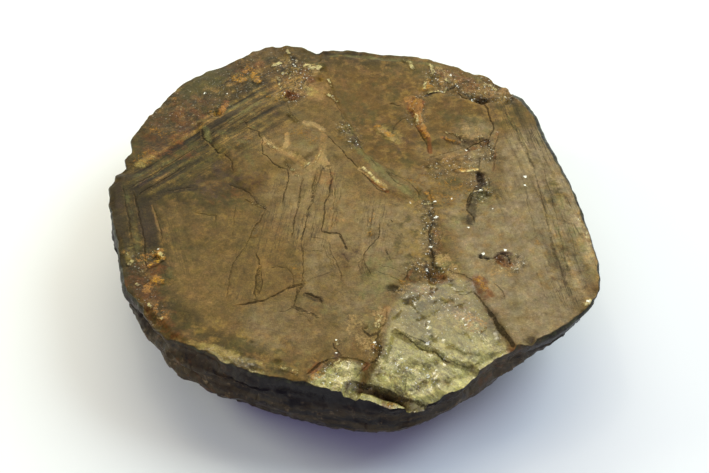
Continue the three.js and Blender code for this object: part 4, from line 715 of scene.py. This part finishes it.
def prismRadius(angle):
    # straight faces blended by a high power mean
    total = sum(
        np.maximum(0, np.cos(angle - math.radians(bearing)) / distance) ** crystal["cornerSharpness"]
        for bearing, distance in prismFaces
    )
    return total ** (-1 / crystal["cornerSharpness"])


def sideTurn(angle):
    # weighted mean of the named turns, by closeness in bearing
    closeness = [
        np.exp(crystal["turnCloseness"] * (np.cos(angle - math.radians(bearing)) - 1))
        for bearing, _, _ in sideTurns
    ]
    weight = sum(closeness)
    reach = sum(near * turn[1] for near, turn in zip(closeness, sideTurns)) / weight
    power = sum(near * turn[2] for near, turn in zip(closeness, sideTurns)) / weight
    return reach, power


def rimBevel(angle):
    # how far the top edge is drawn in: plain all round, wider at the back and on the right
    back = np.maximum(0, np.cos(angle - math.radians(crystal["backBearing"]))) ** 3
    right = np.maximum(0, np.cos(angle - math.radians(crystal["rightBearing"]))) ** 4
    plain = crystal["bevelPlain"]
    return plain + back * (crystal["bevelBack"] - plain) + right * (crystal["bevelRight"] - plain)


def sideRadius(angle, depth):
    # rim at the top, prism faces below; drawn in by the turn under, the parting steps, the bevel and breakage
    reach, power = sideTurn(angle)
    outer = rimRadius(angle)
    outline = outer + np.clip(depth / crystal["prismDepth"], 0, 1) ** 2 * (prismRadius(angle) - outer)
    inset = reach * (np.maximum(depth, 0) / crystal["thickness"]) ** power
    depths, steps = zip(*partings)
    step = np.interp(depth, depths, steps) * (0.65 + 0.5 * np.sin(3 * angle + 1) * np.sin(5 * angle))
    corner = arc(angle, 222, 22)
    wave = np.sin(7 * angle + 2.1 * depth) + 0.7 * np.sin(17 * angle - 1.3 * depth + 1)
    rough = np.minimum(1, depth / 2) * (0.12 + 0.28 * corner) * wave
    bevel = rimBevel(angle) * (1 - np.clip(depth / crystal["bevelDrop"], 0, 1)) ** 1.5
    return outline - inset - step + rough - bevel


def chipGround(points):
    # 1 in the glassy chips and less in the duller ones, fading over a millimetre and a half at their edges
    inside = [smooth(0.65 * insideDistance(points, area["corners"]) + 0.15) for area in chips]
    return np.max([area.get("glaze", 1) * mask for area, mask in zip(chips, inside)], axis=0)


def topSurface(plain):
    # height and masks of the top face at points of the drawing
    flat = flatten(plain)
    warp = np.stack([fractalNoise(flat, 1.4, 3, 3), fractalNoise(flat, 1.4, 3, 8)], -1)
    points = plain + fineness["warp"] * warp
    masks = {name: strokes(points, marks) for name, marks in tints.items()}
    broken = masks["shards"]
    height = fineness["swell"] * fractalNoise(flat, 7, 3, 20)
    height += fineness["ripple"] * fractalNoise(flat, 1.6, 3, 24)
    for areas, choose in ((lowered, np.minimum), (raised, np.maximum), (chips, np.minimum)):
        for area in areas:
            ramp = smooth(insideDistance(points, area["corners"]) / area["ramp"] + 0.5)
            near = ramp > 0
            target = choose(height[near], faceHeight(points[near], area) + 0.5 * height[near])
            height[near] += ramp[near] * (target - height[near])
    chip = chipGround(points)
    rings = np.hypot(*(points - fineness["chipWaveMiddle"]).T) + 0.5 * fractalNoise(flat, 3, 2, 30)
    wave = 1 - np.abs(np.sin(math.pi * rings / fineness["chipWaveLength"]))
    height -= chip * (fineness["chipWave"] * wave + fineness["chipFacets"] * shards(flat, 1.5, 5))
    height += chip * fineness["chipSwell"] * fractalNoise(flat, 2.4, 3, 33)
    height += fineness["shardHeight"] * broken * (shards(flat, 1.2, 1) + 0.6 * shards(flat, 0.55, 2))

    lineSide = np.full(len(points), farAway)
    lineGap = np.full(len(points), farAway)
    lineWidth = np.zeros(len(points))
    lineTone = np.zeros(len(points))
    uneven = 1 + 0.45 * noise(flat, 1.1, 40)
    for width, depth, throw, tone, *numbers in cracks:
        path = pairs(numbers)
        near = closeTo(points, path, 1.6)
        distance, side, fraction = alongPath(points[near], path)
        taper = np.sqrt(np.clip(8 * np.minimum(fraction, 1 - fraction), 0, 1))
        half = 0.5 * width * np.maximum(taper, 0.25) * uneven[near]
        groove = depth * taper * np.clip(1 - distance / (half + 0.1), 0, 1)
        height[near] -= groove * smooth(width / 0.25 - 0.3)
        height[near] += 0.5 * throw * taper * side * smooth(distance / 0.12) * np.exp(-distance / 0.7)
        closer = distance - half < lineGap[near]
        for mask, value in ((lineSide, distance * side), (lineGap, distance - half), (lineWidth, half),
                            (lineTone, tone * np.clip(taper + 0.2, 0, 1))):
            mask[near] = np.where(closer, value, mask[near])

    for x, y, radius, depth in pits:
        near = closeTo(points, [(x, y)], 1.6 * radius)
        distance = np.hypot(*(points[near] - (x, y)).T) / radius + 0.45 * fractalNoise(flat[near], 0.8, 2, 50)
        height[near] -= depth * smooth(1.3 - distance)

    angle = np.arctan2(plain[:, 1], plain[:, 0])
    edge = (rimRadius(angle) - rimBevel(angle) - np.hypot(*plain.T)) / fineness["edgeReach"]
    crumble = np.clip(noise(flat, 1.6, 60) + 0.6 * noise(flat, 0.7, 61) + 0.3, 0, 1.2)
    height -= fineness["edgeCrumble"] * crumble * smooth(1 - edge) ** 2

    # painted glints at the listed spots, drawn as strokes
    flakeMarks = [(fineness["flakeSpread"] * radius, 1.0, x, y) for x, y, radius in flakes]
    rimShade = smooth(1.6 - 0.6 * edge) * np.maximum(arc(angle, 175, 32), 0.7 * arc(angle, 115, 36))
    masks.update(chip=chip, rimShade=rimShade, flake=strokes(plain, flakeMarks), lineSide=lineSide,
                 lineGap=lineGap, lineWidth=lineWidth, lineTone=lineTone)
    return height, masks


def squareGrid(cells):
    # a square grid drawn onto a disc: rings of the square become rings of the disc, bearings even along them
    line = np.linspace(-1, 1, cells + 1)
    u, v = np.meshgrid(line, line)
    ring = np.maximum(abs(u), abs(v))
    with np.errstate(divide="ignore", invalid="ignore"):
        across = math.pi / 4 * v / u + np.where(u < 0, math.pi, 0)
        along = math.pi / 2 - math.pi / 4 * u / v + np.where(v < 0, math.pi, 0)
    angle = np.where(abs(u) >= abs(v), across, along)
    angle[cells // 2, cells // 2] = 0
    return ring.ravel(), angle.ravel()


def gridFaces(cells):
    # the grid's cells as quads, anticlockwise
    index = np.arange((cells + 1) ** 2).reshape(cells + 1, cells + 1)
    quads = np.stack([index[:-1, :-1], index[:-1, 1:], index[1:, 1:], index[1:, :-1]], -1)
    return quads.reshape(-1, 4)


def gridEdge(cells):
    # the grid's border, anticlockwise from its lower right corner
    index = np.arange((cells + 1) ** 2).reshape(cells + 1, cells + 1)
    return np.concatenate([index[:-1, -1], index[-1, :0:-1], index[:0:-1, 0], index[0, :-1]])


def bandFaces(upper, lower):
    # quads between two rings of equal count, or fans of three triangles where the lower has half as many
    if len(upper) == len(lower):
        return [np.stack([upper, lower, np.roll(lower, -1), np.roll(upper, -1)], -1)]
    even, odd, following = upper[::2], upper[1::2], np.roll(upper[::2], -1)
    after = np.roll(lower, -1)
    return [np.stack(corners, -1) for corners in
            ((even, lower, odd), (odd, lower, after), (odd, after, following))]


sideGrain = {
    "from": 0.4, "fade": 2.2, "stretch": (1, 1, 1.8), "shardSize": 1.9, "splinterSize": 0.9,
    "shardHeight": 0.12, "setBack": 0.08, "finest": 0.04, "fine": 0.08, "fineSize": 1.2, "sag": 0.16,
    "sagSize": 4.5,
}


def sideRing(angle, depth, edgeDepth):
    # a ring of the side: rows near the top are drawn down to start at the broken edge
    depth = depth + edgeDepth * np.clip(1 - depth / crystal["drawnDown"], 0, 1)
    radius = sideRadius(angle, depth)
    circle = np.stack([np.cos(angle), np.sin(angle)], -1)
    place = np.column_stack([radius[:, None] * circle, -depth])
    low = smooth((depth - sideGrain["from"]) / sideGrain["fade"])
    stretched = place * sideGrain["stretch"]
    broken = shards(stretched, sideGrain["shardSize"], 3)
    broken += 0.6 * shards(stretched, sideGrain["splinterSize"], 4)
    rough = sideGrain["shardHeight"] * low * broken - sideGrain["setBack"] * low
    fine = sideGrain["finest"] + sideGrain["fine"] * low
    rough += fine * fractalNoise(stretched, sideGrain["fineSize"], 3, 70)
    place[:, :2] += rough[:, None] * circle
    sag = np.clip(depth / 2, 0, 1) * np.clip((crystal["thickness"] - depth) / 1.5, 0, 1)
    place[:, 2] += sideGrain["sag"] * sag * fractalNoise(place * (1, 1, 0), sideGrain["sagSize"], 2, 80)
    return place


def buildStone():
    # top face, rings down the sides and underside as one closed mesh; the masks become its attributes
    cells = crystal["topCells"]
    ring, angle = squareGrid(cells)
    edge = gridEdge(cells)
    bearing = angle[edge]
    start = sideRadius(bearing, np.zeros(len(edge)))
    firstGuess = topSurface(start[:, None] * np.stack([np.cos(bearing), np.sin(bearing)], -1))[0]
    reach = sideRadius(bearing, np.maximum(0, -firstGuess))

    order = np.argsort(bearing)
    radius = ring * np.interp(angle % fullTurn, bearing[order] % fullTurn, reach[order], period=fullTurn)
    top = radius[:, None] * np.stack([np.cos(angle), np.sin(angle)], -1)
    height, masks = topSurface(top)
    vertices = [np.column_stack([top, height])]
    faces = [gridFaces(cells)]
    count = len(top)
    edgeDepth = -height[edge]
    print("top face shaped:", count, "points")

    upper = edge
    for rows, step in ((crystal["sideRows"], 1), (crystal["lowRows"], 2)):
        around = bearing[::step]
        for depth in rows:
            vertices.append(sideRing(around, np.full(len(around), depth), edgeDepth[::step]))
            lower = count + np.arange(len(around))
            faces += bandFaces(upper, lower)
            upper, count = lower, count + len(lower)

    baseCells = cells // 4
    ring, angle = squareGrid(baseCells)
    reach = prismRadius(angle) - sideTurn(angle)[0] - crystal["baseMargin"]
    base = (ring * reach)[:, None] * np.stack([np.cos(angle), np.sin(angle)], -1)
    lift = np.zeros(len(base))
    for area in undersideBreaks:
        ramp = smooth(insideDistance(base, area["corners"]) / area["ramp"] + 0.5)
        lift = np.maximum(lift, ramp * faceHeight(base, area))
    lift *= 1 + 0.35 * shards(flatten(base), 2.4, 6)
    vertices.append(np.column_stack([base, lift - crystal["thickness"]]))
    faces += bandFaces(upper, count + gridEdge(baseCells))
    faces.append(count + gridFaces(baseCells)[:, ::-1])
    print("sides and underside shaped")

    everything = np.concatenate(vertices)
    total = len(everything)
    wall = np.ones(total)
    wall[:len(top)] = 0
    fields = {name: np.concatenate([mask, np.zeros(total - len(top))]) for name, mask in masks.items()}
    for name in ("lineSide", "lineGap"):
        fields[name][len(top):] = farAway
    fields["wall"] = wall
    heading = np.arctan2(everything[:, 1], everything[:, 0])
    fields["warmWall"] = wall * np.maximum(arc(heading, 307, 13), 0.9 * arc(heading, 222, 15))
    placed = (everything + crystal["shift"]) * millimetre
    placed[:, 2] = np.maximum(placed[:, 2], 0)

    mesh = bpy.data.meshes.new("sapphireStone")
    mesh.from_pydata(placed.tolist(), [], [face for block in faces for face in block.tolist()])
    for name, values in fields.items():
        mesh.attributes.new(name, "FLOAT", "POINT").data.foreach_set("value", values.astype(np.float32))
    mesh.polygons.foreach_set("use_smooth", np.ones(len(mesh.polygons), bool))
    mesh.set_sharp_from_angle(angle=math.radians(crystal["sharpAngle"]))
    mesh.update()
    stone = bpy.data.objects.new("sapphireStone", mesh)
    bpy.context.scene.collection.objects.link(stone)
    return stone


stone = buildStone()
print("stone built:", len(stone.data.polygons), "faces")


def rgb(red, green, blue):
    # display colour, 0 to 255, as the linear colour that a shader takes, never quite black
    channels = [value / 255 for value in (red, green, blue)]
    linear = [((c + 0.055) / 1.055) ** 2.4 if c > 0.04 else c / 12.92 for c in channels]
    return tuple(max(0.004, c) for c in linear) + (1,)


class Wire:
    # one socket of a material's tree; the usual signs add Math nodes to it
    def __init__(self, tree, socket=None):
        self.tree = tree
        self.socket = socket

    def node(self, kind, settings=None, values=None, output=0):
        # adds a node, its settings first and then what feeds its sockets, and gives one of its outputs
        made = self.tree.nodes.new(kind)
        for name, value in (settings or {}).items():
            setattr(made, name, value)
        for name, value in (values or {}).items():
            if isinstance(value, Wire):
                self.tree.links.new(value.socket, made.inputs[name])
            else:
                made.inputs[name].default_value = value
        return Wire(self.tree, made.outputs[output] if made.outputs else None)

    def maths(self, operation, first, second=0.0, clamp=False):
        settings = {"operation": operation, "use_clamp": clamp}
        return self.node("ShaderNodeMath", settings, {0: first, 1: second})

    def __add__(self, other):
        return self.maths("ADD", self, other)

    def __sub__(self, other):
        return self.maths("SUBTRACT", self, other)

    def __rsub__(self, other):
        return self.maths("SUBTRACT", other, self)

    def __mul__(self, other):
        return self.maths("MULTIPLY", self, other)

    __radd__ = __add__
    __rmul__ = __mul__

    def clamped(self):
        return self.maths("ADD", self, 0.0, clamp=True)

    def size(self):
        return self.maths("ABSOLUTE", self)

    def most(self, other):
        return self.maths("MAXIMUM", self, other)

    def between(self, low, high):
        # 0 at low, 1 at high, smooth and held beyond them
        values = {"Value": self, "From Min": low, "From Max": high}
        return self.node("ShaderNodeMapRange", {"interpolation_type": "SMOOTHSTEP"}, values)

    def colour(self, below, above):
        # the colour above laid over the colour below as far as this mask says
        settings = {"data_type": "RGBA", "clamp_factor": True}
        return self.node("ShaderNodeMix", settings, {0: self, 6: below, 7: above}, 2)

    def mask(self, name):
        return self.node("ShaderNodeAttribute", {"attribute_name": name}, None, "Fac")

    def grain(self, place, scale, detail, roughness, output="Fac"):
        # even numbers about a half; as "Color", three independent grains at once
        values = {"Vector": place, "Scale": scale, "Detail": detail, "Roughness": roughness}
        return self.node("ShaderNodeTexNoise", None, values, output)

    def bands(self, place, bearing, scale):
        # a grain drawn out along the lines whose normal has that bearing
        across = (math.cos(math.radians(bearing)), math.sin(math.radians(bearing)), 0)
        u = self.vector("DOT_PRODUCT", {0: place, 1: across}, "Value")
        v = self.vector("DOT_PRODUCT", {0: place, 1: (-across[1], across[0], 0)}, "Value")
        drawn = self.node("ShaderNodeCombineXYZ", None, {"X": u, "Y": v * 0.05})
        return self.grain(drawn, scale, 4.0, 0.6)

    def growth(self, place, bearing, scale):
        # thin lines, where that grain passes through its middle value
        return 1 - (self.bands(place, bearing, scale) - 0.5).size().between(0.004, 0.03)

    def facets(self, place, scale):
        # each cell of a Voronoi pattern is a plane through its own point, tilted its own way
        cell = {"Vector": place, "Scale": scale}
        own = self.node("ShaderNodeTexVoronoi", None, cell, "Color")
        lean = self.vector("SUBTRACT", {0: own, 1: (0.5, 0.5, 0.5)})
        middle = self.node("ShaderNodeTexVoronoi", None, cell, "Position")
        away = self.vector("SUBTRACT", {0: place, 1: middle})
        return self.vector("DOT_PRODUCT", {0: lean, 1: away}, "Value")

    def uneven(self, colour, amounts):
        # the colour times 1 + amount x (grain - 1/2), channel by channel, this wire being a coloured grain
        rest = tuple(1 - amount / 2 for amount in amounts)
        tone = self.vector("MULTIPLY_ADD", {0: self, 1: amounts, 2: rest})
        return self.vector("MULTIPLY", {0: colour, 1: tone})

    def dimmed(self, colour, amount):
        # the same with one plain grain for all three channels
        tone = ((self - 0.5) * amount + 1).most(0.1)
        return self.vector("SCALE", {0: colour, "Scale": tone})

    def vector(self, operation, values, output=0):
        return self.node("ShaderNodeVectorMath", {"operation": operation}, values, output)


finish = {
    "bronze": rgb(99, 76, 37),
    "deep": rgb(60, 47, 15),
    "umber": rgb(91, 64, 22),
    "pale": rgb(125, 103, 66),
    # paler, greyer ground, partly the stone's colour and partly a painted sheen
    "ashenSheen": rgb(129, 111, 80),
    "olive": rgb(72, 67, 29),
    "greyGreen": rgb(103, 98, 56),
    "pinkBrown": rgb(108, 75, 46),
    "gold": rgb(138, 108, 48),
    "tan": rgb(146, 112, 64),
    "ochre": rgb(142, 98, 26),
    "brightOchre": rgb(206, 152, 44),
    "rust": rgb(108, 62, 26),
    "cream": rgb(206, 188, 130),
    "butter": rgb(160, 136, 74),
    "sand": rgb(152, 124, 76),
    "copper": rgb(150, 103, 46),
    "violet": rgb(72, 50, 42),
    "line": rgb(36, 27, 12),
    "chipBrown": rgb(102, 84, 44),
    "chip": rgb(121, 105, 48),
    "chipPale": rgb(174, 163, 98),
    # near-white colour of the painted glints
    "flake": rgb(244, 242, 226),
    "navy": rgb(35, 31, 31),
    "wallBrown": rgb(68, 56, 38),
    "wallWarm": rgb(74, 61, 40),
    "wallPale": rgb(128, 106, 76),
    "bevel": rgb(62, 62, 42),
    # heights of the ledge and the bevel, and how far from the near edge the chips turn paler, in millimetres
    "ledge": (6.8, 8.4),
    "bevelHeight": (9.9, 10.2),
    "chipNear": (-21.5, -14.0),
    # the silk in the chips: bearings and scales of its two bands
    "silk": (52, 1.6),
    "silkCross": (20, 1.3),
    "roughness": 0.42,
    "ior": 1.77,
    "specular": 0.06,
    "coatRoughness": 0.13,
}

# Grains of the stone, from place to place: scale, detail and roughness.
grains = {
    "clouds": (0.24, 5.0, 0.6), "coarse": (0.9, 5.0, 0.7), "fine": (3.0, 4.0, 0.75),
    "bedding": (1.0, 5.0, 0.65), "patches": (1.3, 5.0, 0.75), "rust": (0.9, 5.0, 0.7),
    "bevel": (2.2, 4.0, 0.7), "mottle": (0.75, 5.0, 0.62), "flecks": (3.2, 4.0, 0.65),
    "dust": (6.5, 3.0, 0.8), "glass": (0.8, 6.0, 0.66), "crumbs": (2.2, 5.0, 0.75),
    "wander": (1.6, 4.0, 0.6), "hues": (0.9, 4.0, 0.7), "broad": (0.5, 3.0, 0.6),
    "middling": (1.3, 6.0, 0.75), "close": (3.4, 4.0, 0.75), "glints": (4.5, 2.0, 0.5),
}

# Growth bands: the bearing of their normals, their scale, and how strongly they shade the ground.
growthBands = {"hatched": (131, 1.1, 7.0), "striped": (14, 0.9, 2.8), "lined": (351, 1.5, 1.5)}

# Patches of the ground: their scale, and how far they cover it.
groundPatches = {"olive": (0.45, 0.9), "pinkBrown": (0.6, 0.7), "deep": (0.9, 0.75), "gold": (1.2, 0.6)}

# Soft clouds of tint and how far they cover; then deposits in grains, with the share of grains as well.
softStains = {"olive": 0.75, "greyGreen": 0.65, "tan": 0.8, "butter": 0.8, "violet": 0.8, "rust": 0.95}
grainyStains = {"sand": (1.1, 0.8), "copper": (0.9, 0.9), "ochre": (0.85, 0.75), "cream": (0.76, 0.85)}


def groundColour(start, mm):
    # bronze, deeper at the left and far corners, paler on the right partly as a painted sheen, mottled, with
    # growth bands and lines
    clouds = start.grain(mm, *grains["clouds"])
    colour = finish["bronze"]
    for name in ("umber", "deep", "pale", "ashenSheen"):
        zone = (start.mask(name) + (clouds - 0.5) * 0.9).between(0.1, 0.95)
        colour = zone.colour(colour, finish[name])
    mixed = start.mask("mixed") * 0.6 + 0.35
    for name, (scale, most) in groundPatches.items():
        patches = start.grain(mm, scale, 4.0, 0.6).between(0.46, 0.68)
        colour = (patches * mixed * most).colour(colour, finish[name])
    for name, (bearing, scale, depth) in growthBands.items():
        colour = start.bands(mm, bearing, scale).dimmed(colour, start.mask(name) * depth)
        lines = start.growth(mm, bearing, scale * 1.4) * clouds.between(0.4, 0.55) * start.mask(name)
        colour = (lines * 0.7).colour(colour, finish["line"])
    return colour


def stained(start, mm, colour):
    # soft clouds of tint, then deposits that break up into grains, the palest most of all
    coarse = start.grain(mm, *grains["coarse"]) - 0.5
    fine = start.grain(mm, *grains["fine"]) - 0.5
    for name, strength in softStains.items():
        stain = (start.mask(name) + coarse * 2.2 + fine * 0.9).between(0.2, 1.05)
        stain = stain * start.mask(name).between(0.0, 0.3)
        colour = (stain * strength).colour(colour, finish[name])
        coarse = coarse * -1.0
    # painted shade in pits, cracks and hollows, and darker patches of the stone
    shade = (start.mask("shade") + coarse * 1.2 + fine * 1.2).between(0.15, 0.95)
    colour = (shade * 0.8).colour(colour, finish["line"])
    for name, (share, strength) in grainyStains.items():
        stain = (start.mask(name) * share + coarse * 1.8 + fine * 2.6).between(0.42, 0.8)
        colour = (stain * strength * start.mask(name).between(0.0, 0.4)).colour(colour, finish[name])
        coarse = coarse * -1.0
    bright = start.mask("ochre").between(0.4, 0.9) * fine.between(0.05, 0.13)
    return (bright * 0.7).colour(colour, finish["brightOchre"])


def chipColour(start, mm, glass):
    # brown at the far end of the chips, paler and greener towards the near edge
    place = start.vector("DOT_PRODUCT", {0: mm, 1: (0, 1, 0)}, "Value") + (glass - 0.5) * 12
    near = 1 - place.between(*finish["chipNear"])
    colour = glass.between(0.34, 0.6).colour(finish["chipBrown"], finish["chip"])
    pale = glass.between(0.3, 0.52).colour(finish["chip"], finish["chipPale"])
    return near.colour(colour, pale)


def sideColour(start, mm, height):
    # navy above the ledge, browner and patchy below, warmer by two corners, greenish at the bevel
    layers = start.vector("MULTIPLY", {0: mm, 1: (0.3, 0.3, 2.0)})
    bedding = start.grain(layers, *grains["bedding"])
    below = 1 - height.between(*finish["ledge"])
    colour = (below * bedding.between(0.38, 0.62)).colour(finish["navy"], finish["wallBrown"])
    patches = start.grain(mm, *grains["patches"])
    warm = start.mask("warmWall")
    colour = (warm * patches.between(0.34, 0.5) * 0.9).colour(colour, finish["wallWarm"])
    pale = (below * 0.5 + warm * 0.6 + 0.08) * patches.between(0.55, 0.7)
    colour = pale.colour(colour, finish["wallPale"])
    rusty = warm * start.grain(mm, *grains["rust"]).between(0.54, 0.64)
    colour = (rusty * 0.4).colour(colour, finish["rust"])
    bevel = height.between(*finish["bevelHeight"]) * start.grain(mm, *grains["bevel"]).between(0.4, 0.6)
    return bevel.colour(colour, finish["bevel"])


def stoneMaterial():
    material = bpy.data.materials.new("sapphireFinish")
    material.use_nodes = True
    tree = material.node_tree
    tree.nodes.clear()
    start = Wire(tree)
    place = start.node("ShaderNodeTexCoord", None, None, "Object")
    mm = start.vector("SCALE", {0: place, "Scale": 1 / millimetre})
    height = start.vector("DOT_PRODUCT", {0: mm, 1: (0, 0, 1)}, "Value")
    chip = start.mask("chip")
    broken = start.mask("shards")
    wall = start.mask("wall")
    mottle = start.grain(mm, *grains["mottle"])
    flecks = start.grain(mm, *grains["flecks"])
    dust = start.grain(mm, *grains["dust"])
    glass = start.grain(mm, *grains["glass"])
    fine = flecks.between(0.48, 0.58)
    glazed = (chip + (glass - 0.5) * 1.8).between(0.1, 0.95)
    colour = glazed.colour(groundColour(start, mm), chipColour(start, mm, glass))
    silk = start.bands(mm, *finish["silk"]) - start.bands(mm, *finish["silkCross"])
    colour = (silk + 0.5).dimmed(colour, glazed * 1.2)
    colour = stained(start, mm, colour)

    # crust: light crumbs with paler tips, and dark gaps
    crumbs = start.grain(mm, *grains["crumbs"])
    tips = broken * crumbs.between(0.62, 0.68)
    colour = (broken * crumbs.between(0.54, 0.62) * 0.4).colour(colour, finish["tan"])
    colour = (tips * 0.85).colour(colour, finish["cream"])
    gaps = broken * (1 - crumbs.between(0.4, 0.49)) * (0.85 - glazed * 0.65)
    colour = gaps.colour(colour, finish["line"])

    # cracks: a dark core that wanders a little, and a lit edge on its right
    wander = (start.grain(mm, *grains["wander"]) - 0.5) * 0.4
    aside = start.mask("lineSide") + wander
    tone = start.mask("lineTone") * (1 - start.mask("lineGap").between(0.14, 0.26))
    core = (start.mask("lineWidth") * (flecks * 1.8) - aside.size()).between(-0.055, 0.025)
    core = core * tone * (flecks.between(0.35, 0.55) * 0.5 + 0.5)
    edge = aside.between(-0.3, -0.16) * (1 - aside.between(-0.12, -0.05)) * tone * flecks.between(0.42, 0.6)
    colour = (edge * 0.4).colour(colour, finish["tan"])
    colour = (core * 0.85).colour(colour, finish["line"])

    colour = start.grain(mm, *grains["hues"], "Color").uneven(colour, (0.3, 0.24, 0.8))
    colour = start.grain(mm, *grains["broad"]).dimmed(colour, 0.9)
    colour = start.grain(mm, *grains["middling"]).dimmed(colour, 1.5 - glazed * 0.8)
    colour = start.grain(mm, *grains["close"]).dimmed(colour, 1.0)
    colour = dust.dimmed(colour, 1.5 + (broken + start.mask("hatched")) * 1.8)
    colour = (start.mask("rimShade") * crumbs.between(0.3, 0.55) * 0.6).colour(colour, finish["line"])
    colour = wall.colour(colour, sideColour(start, mm, height))
    # painted glints: near-white spots at the listed places and scattered over the crust and chips, under a
    # glossy coat
    flake = (start.mask("flake") + (flecks - 0.5) * 2.6 + (dust - 0.5) * 1.4).between(0.62, 0.85)
    flake = flake * start.mask("flake").between(0.0, 0.3)
    glints = start.grain(mm, *grains["glints"]).between(0.66, 0.7) * (broken + glazed * 0.4)
    flake = flake.most(glints * 0.8)
    colour = flake.colour(colour, finish["flake"])

    roughness = finish["roughness"] + (mottle - 0.5) * 0.3 + core * 0.3
    glossy = start.mask("ochre").most(start.mask("cream")) * 0.15
    coat = chip * 0.6 + tips * 0.6 + broken * 0.08 + flake * 0.5 + wall * 0.05 + glossy * fine - core
    surface = flecks * 0.03 + dust * 0.012 + mottle * 0.09 - core * 0.07 + crumbs * broken * 0.14
    bearing, scale, _ = growthBands["hatched"]
    surface = surface + start.bands(mm, bearing, scale) * start.mask("hatched") * 0.14
    surface = surface + chip * (glass * 0.5 + silk * 0.3)
    surface = surface + start.facets(mm, 0.55) * (chip * 0.7 + broken * 0.4 + wall * 0.3)
    surface = surface + start.facets(mm, 1.8) * (chip * 0.5 + broken * 0.6 + wall * 0.3)
    surface = surface + glossy * (mottle + flecks * 0.5) * 1.8
    bump = start.node("ShaderNodeBump", None, {"Strength": 1.0, "Distance": millimetre, "Height": surface})

    shader = start.node("ShaderNodeBsdfPrincipled", None, {
        "Base Color": colour, "Roughness": roughness.clamped(), "IOR": finish["ior"],
        "Specular IOR Level": finish["specular"], "Coat Weight": coat.clamped(),
        "Coat Roughness": finish["coatRoughness"], "Coat IOR": finish["ior"], "Normal": bump})
    start.node("ShaderNodeOutputMaterial", None, {"Surface": shader})
    return material


stone.data.materials.append(stoneMaterial())
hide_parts("sapphire_crystal")
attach(stone, "root")
print("stone finished")

studio = {
    "floorSize": 4.0,
    "floorColour": rgb(231, 231, 231),
    "world": (0.90, 0.955, 1.10, 1),
    "worldStrength": 0.275,
    "lights": [
        {"name": "window", "place": (0.0, 0.45, 0.40), "size": 0.8, "power": 3.97,
         "colour": (1.0, 0.925, 0.69), "mirrored": True},
        {"name": "lamp", "place": (0.20, 0.08, 0.22), "size": 0.2, "power": 0.654,
         "colour": (0.773, 0.939, 1.0), "mirrored": False},
        {"name": "side", "place": (-0.20, 0.05, 0.10), "size": 0.1, "power": 0.257,
         "colour": (0.93, 1.0, 0.709), "mirrored": False},
        {"name": "front", "place": (-0.10, -0.30, 0.25), "size": 0.3, "power": 0.213,
         "colour": (0.366, 0.244, 1.0), "mirrored": False},
        {"name": "spark", "place": (-0.10, 0.22, 0.40), "size": 0.05, "power": 0.09,
         "colour": (1.0, 0.96, 0.8), "mirrored": True},
    ],
}


def plainFloor():
    half = studio["floorSize"] / 2
    mesh = bpy.data.meshes.new("floor")
    corners = [(-half, -half, 0), (half, -half, 0), (half, half, 0), (-half, half, 0)]
    mesh.from_pydata(corners, [], [(0, 1, 2, 3)])
    floor = bpy.data.objects.new("floor", mesh)
    bpy.context.scene.collection.objects.link(floor)
    material = bpy.data.materials.new("paper")
    material.use_nodes = True
    paper = material.node_tree.nodes["Principled BSDF"]
    paper.inputs["Base Color"].default_value = studio["floorColour"]
    paper.inputs["Roughness"].default_value = 0.9
    paper.inputs["Specular IOR Level"].default_value = 0.0
    mesh.materials.append(material)


def softLight(name, place, size, power, colour, mirrored):
    light = bpy.data.lights.new(name, "AREA")
    light.shape = "DISK"
    light.size = size
    light.energy = power
    light.color = colour
    lamp = bpy.data.objects.new(name, light)
    lamp.location = place
    lamp.rotation_euler = (-lamp.location).to_track_quat("-Z", "Y").to_euler()
    lamp.visible_glossy = mirrored
    bpy.context.scene.collection.objects.link(lamp)


plainFloor()
for light in studio["lights"]:
    softLight(**light)
world = bpy.data.worlds.new("room")
world.use_nodes = True
world.node_tree.nodes["Background"].inputs["Color"].default_value = studio["world"]
world.node_tree.nodes["Background"].inputs["Strength"].default_value = studio["worldStrength"]
bpy.context.scene.world = world
bpy.context.scene.view_settings.view_transform = "Standard"
print("studio lit")
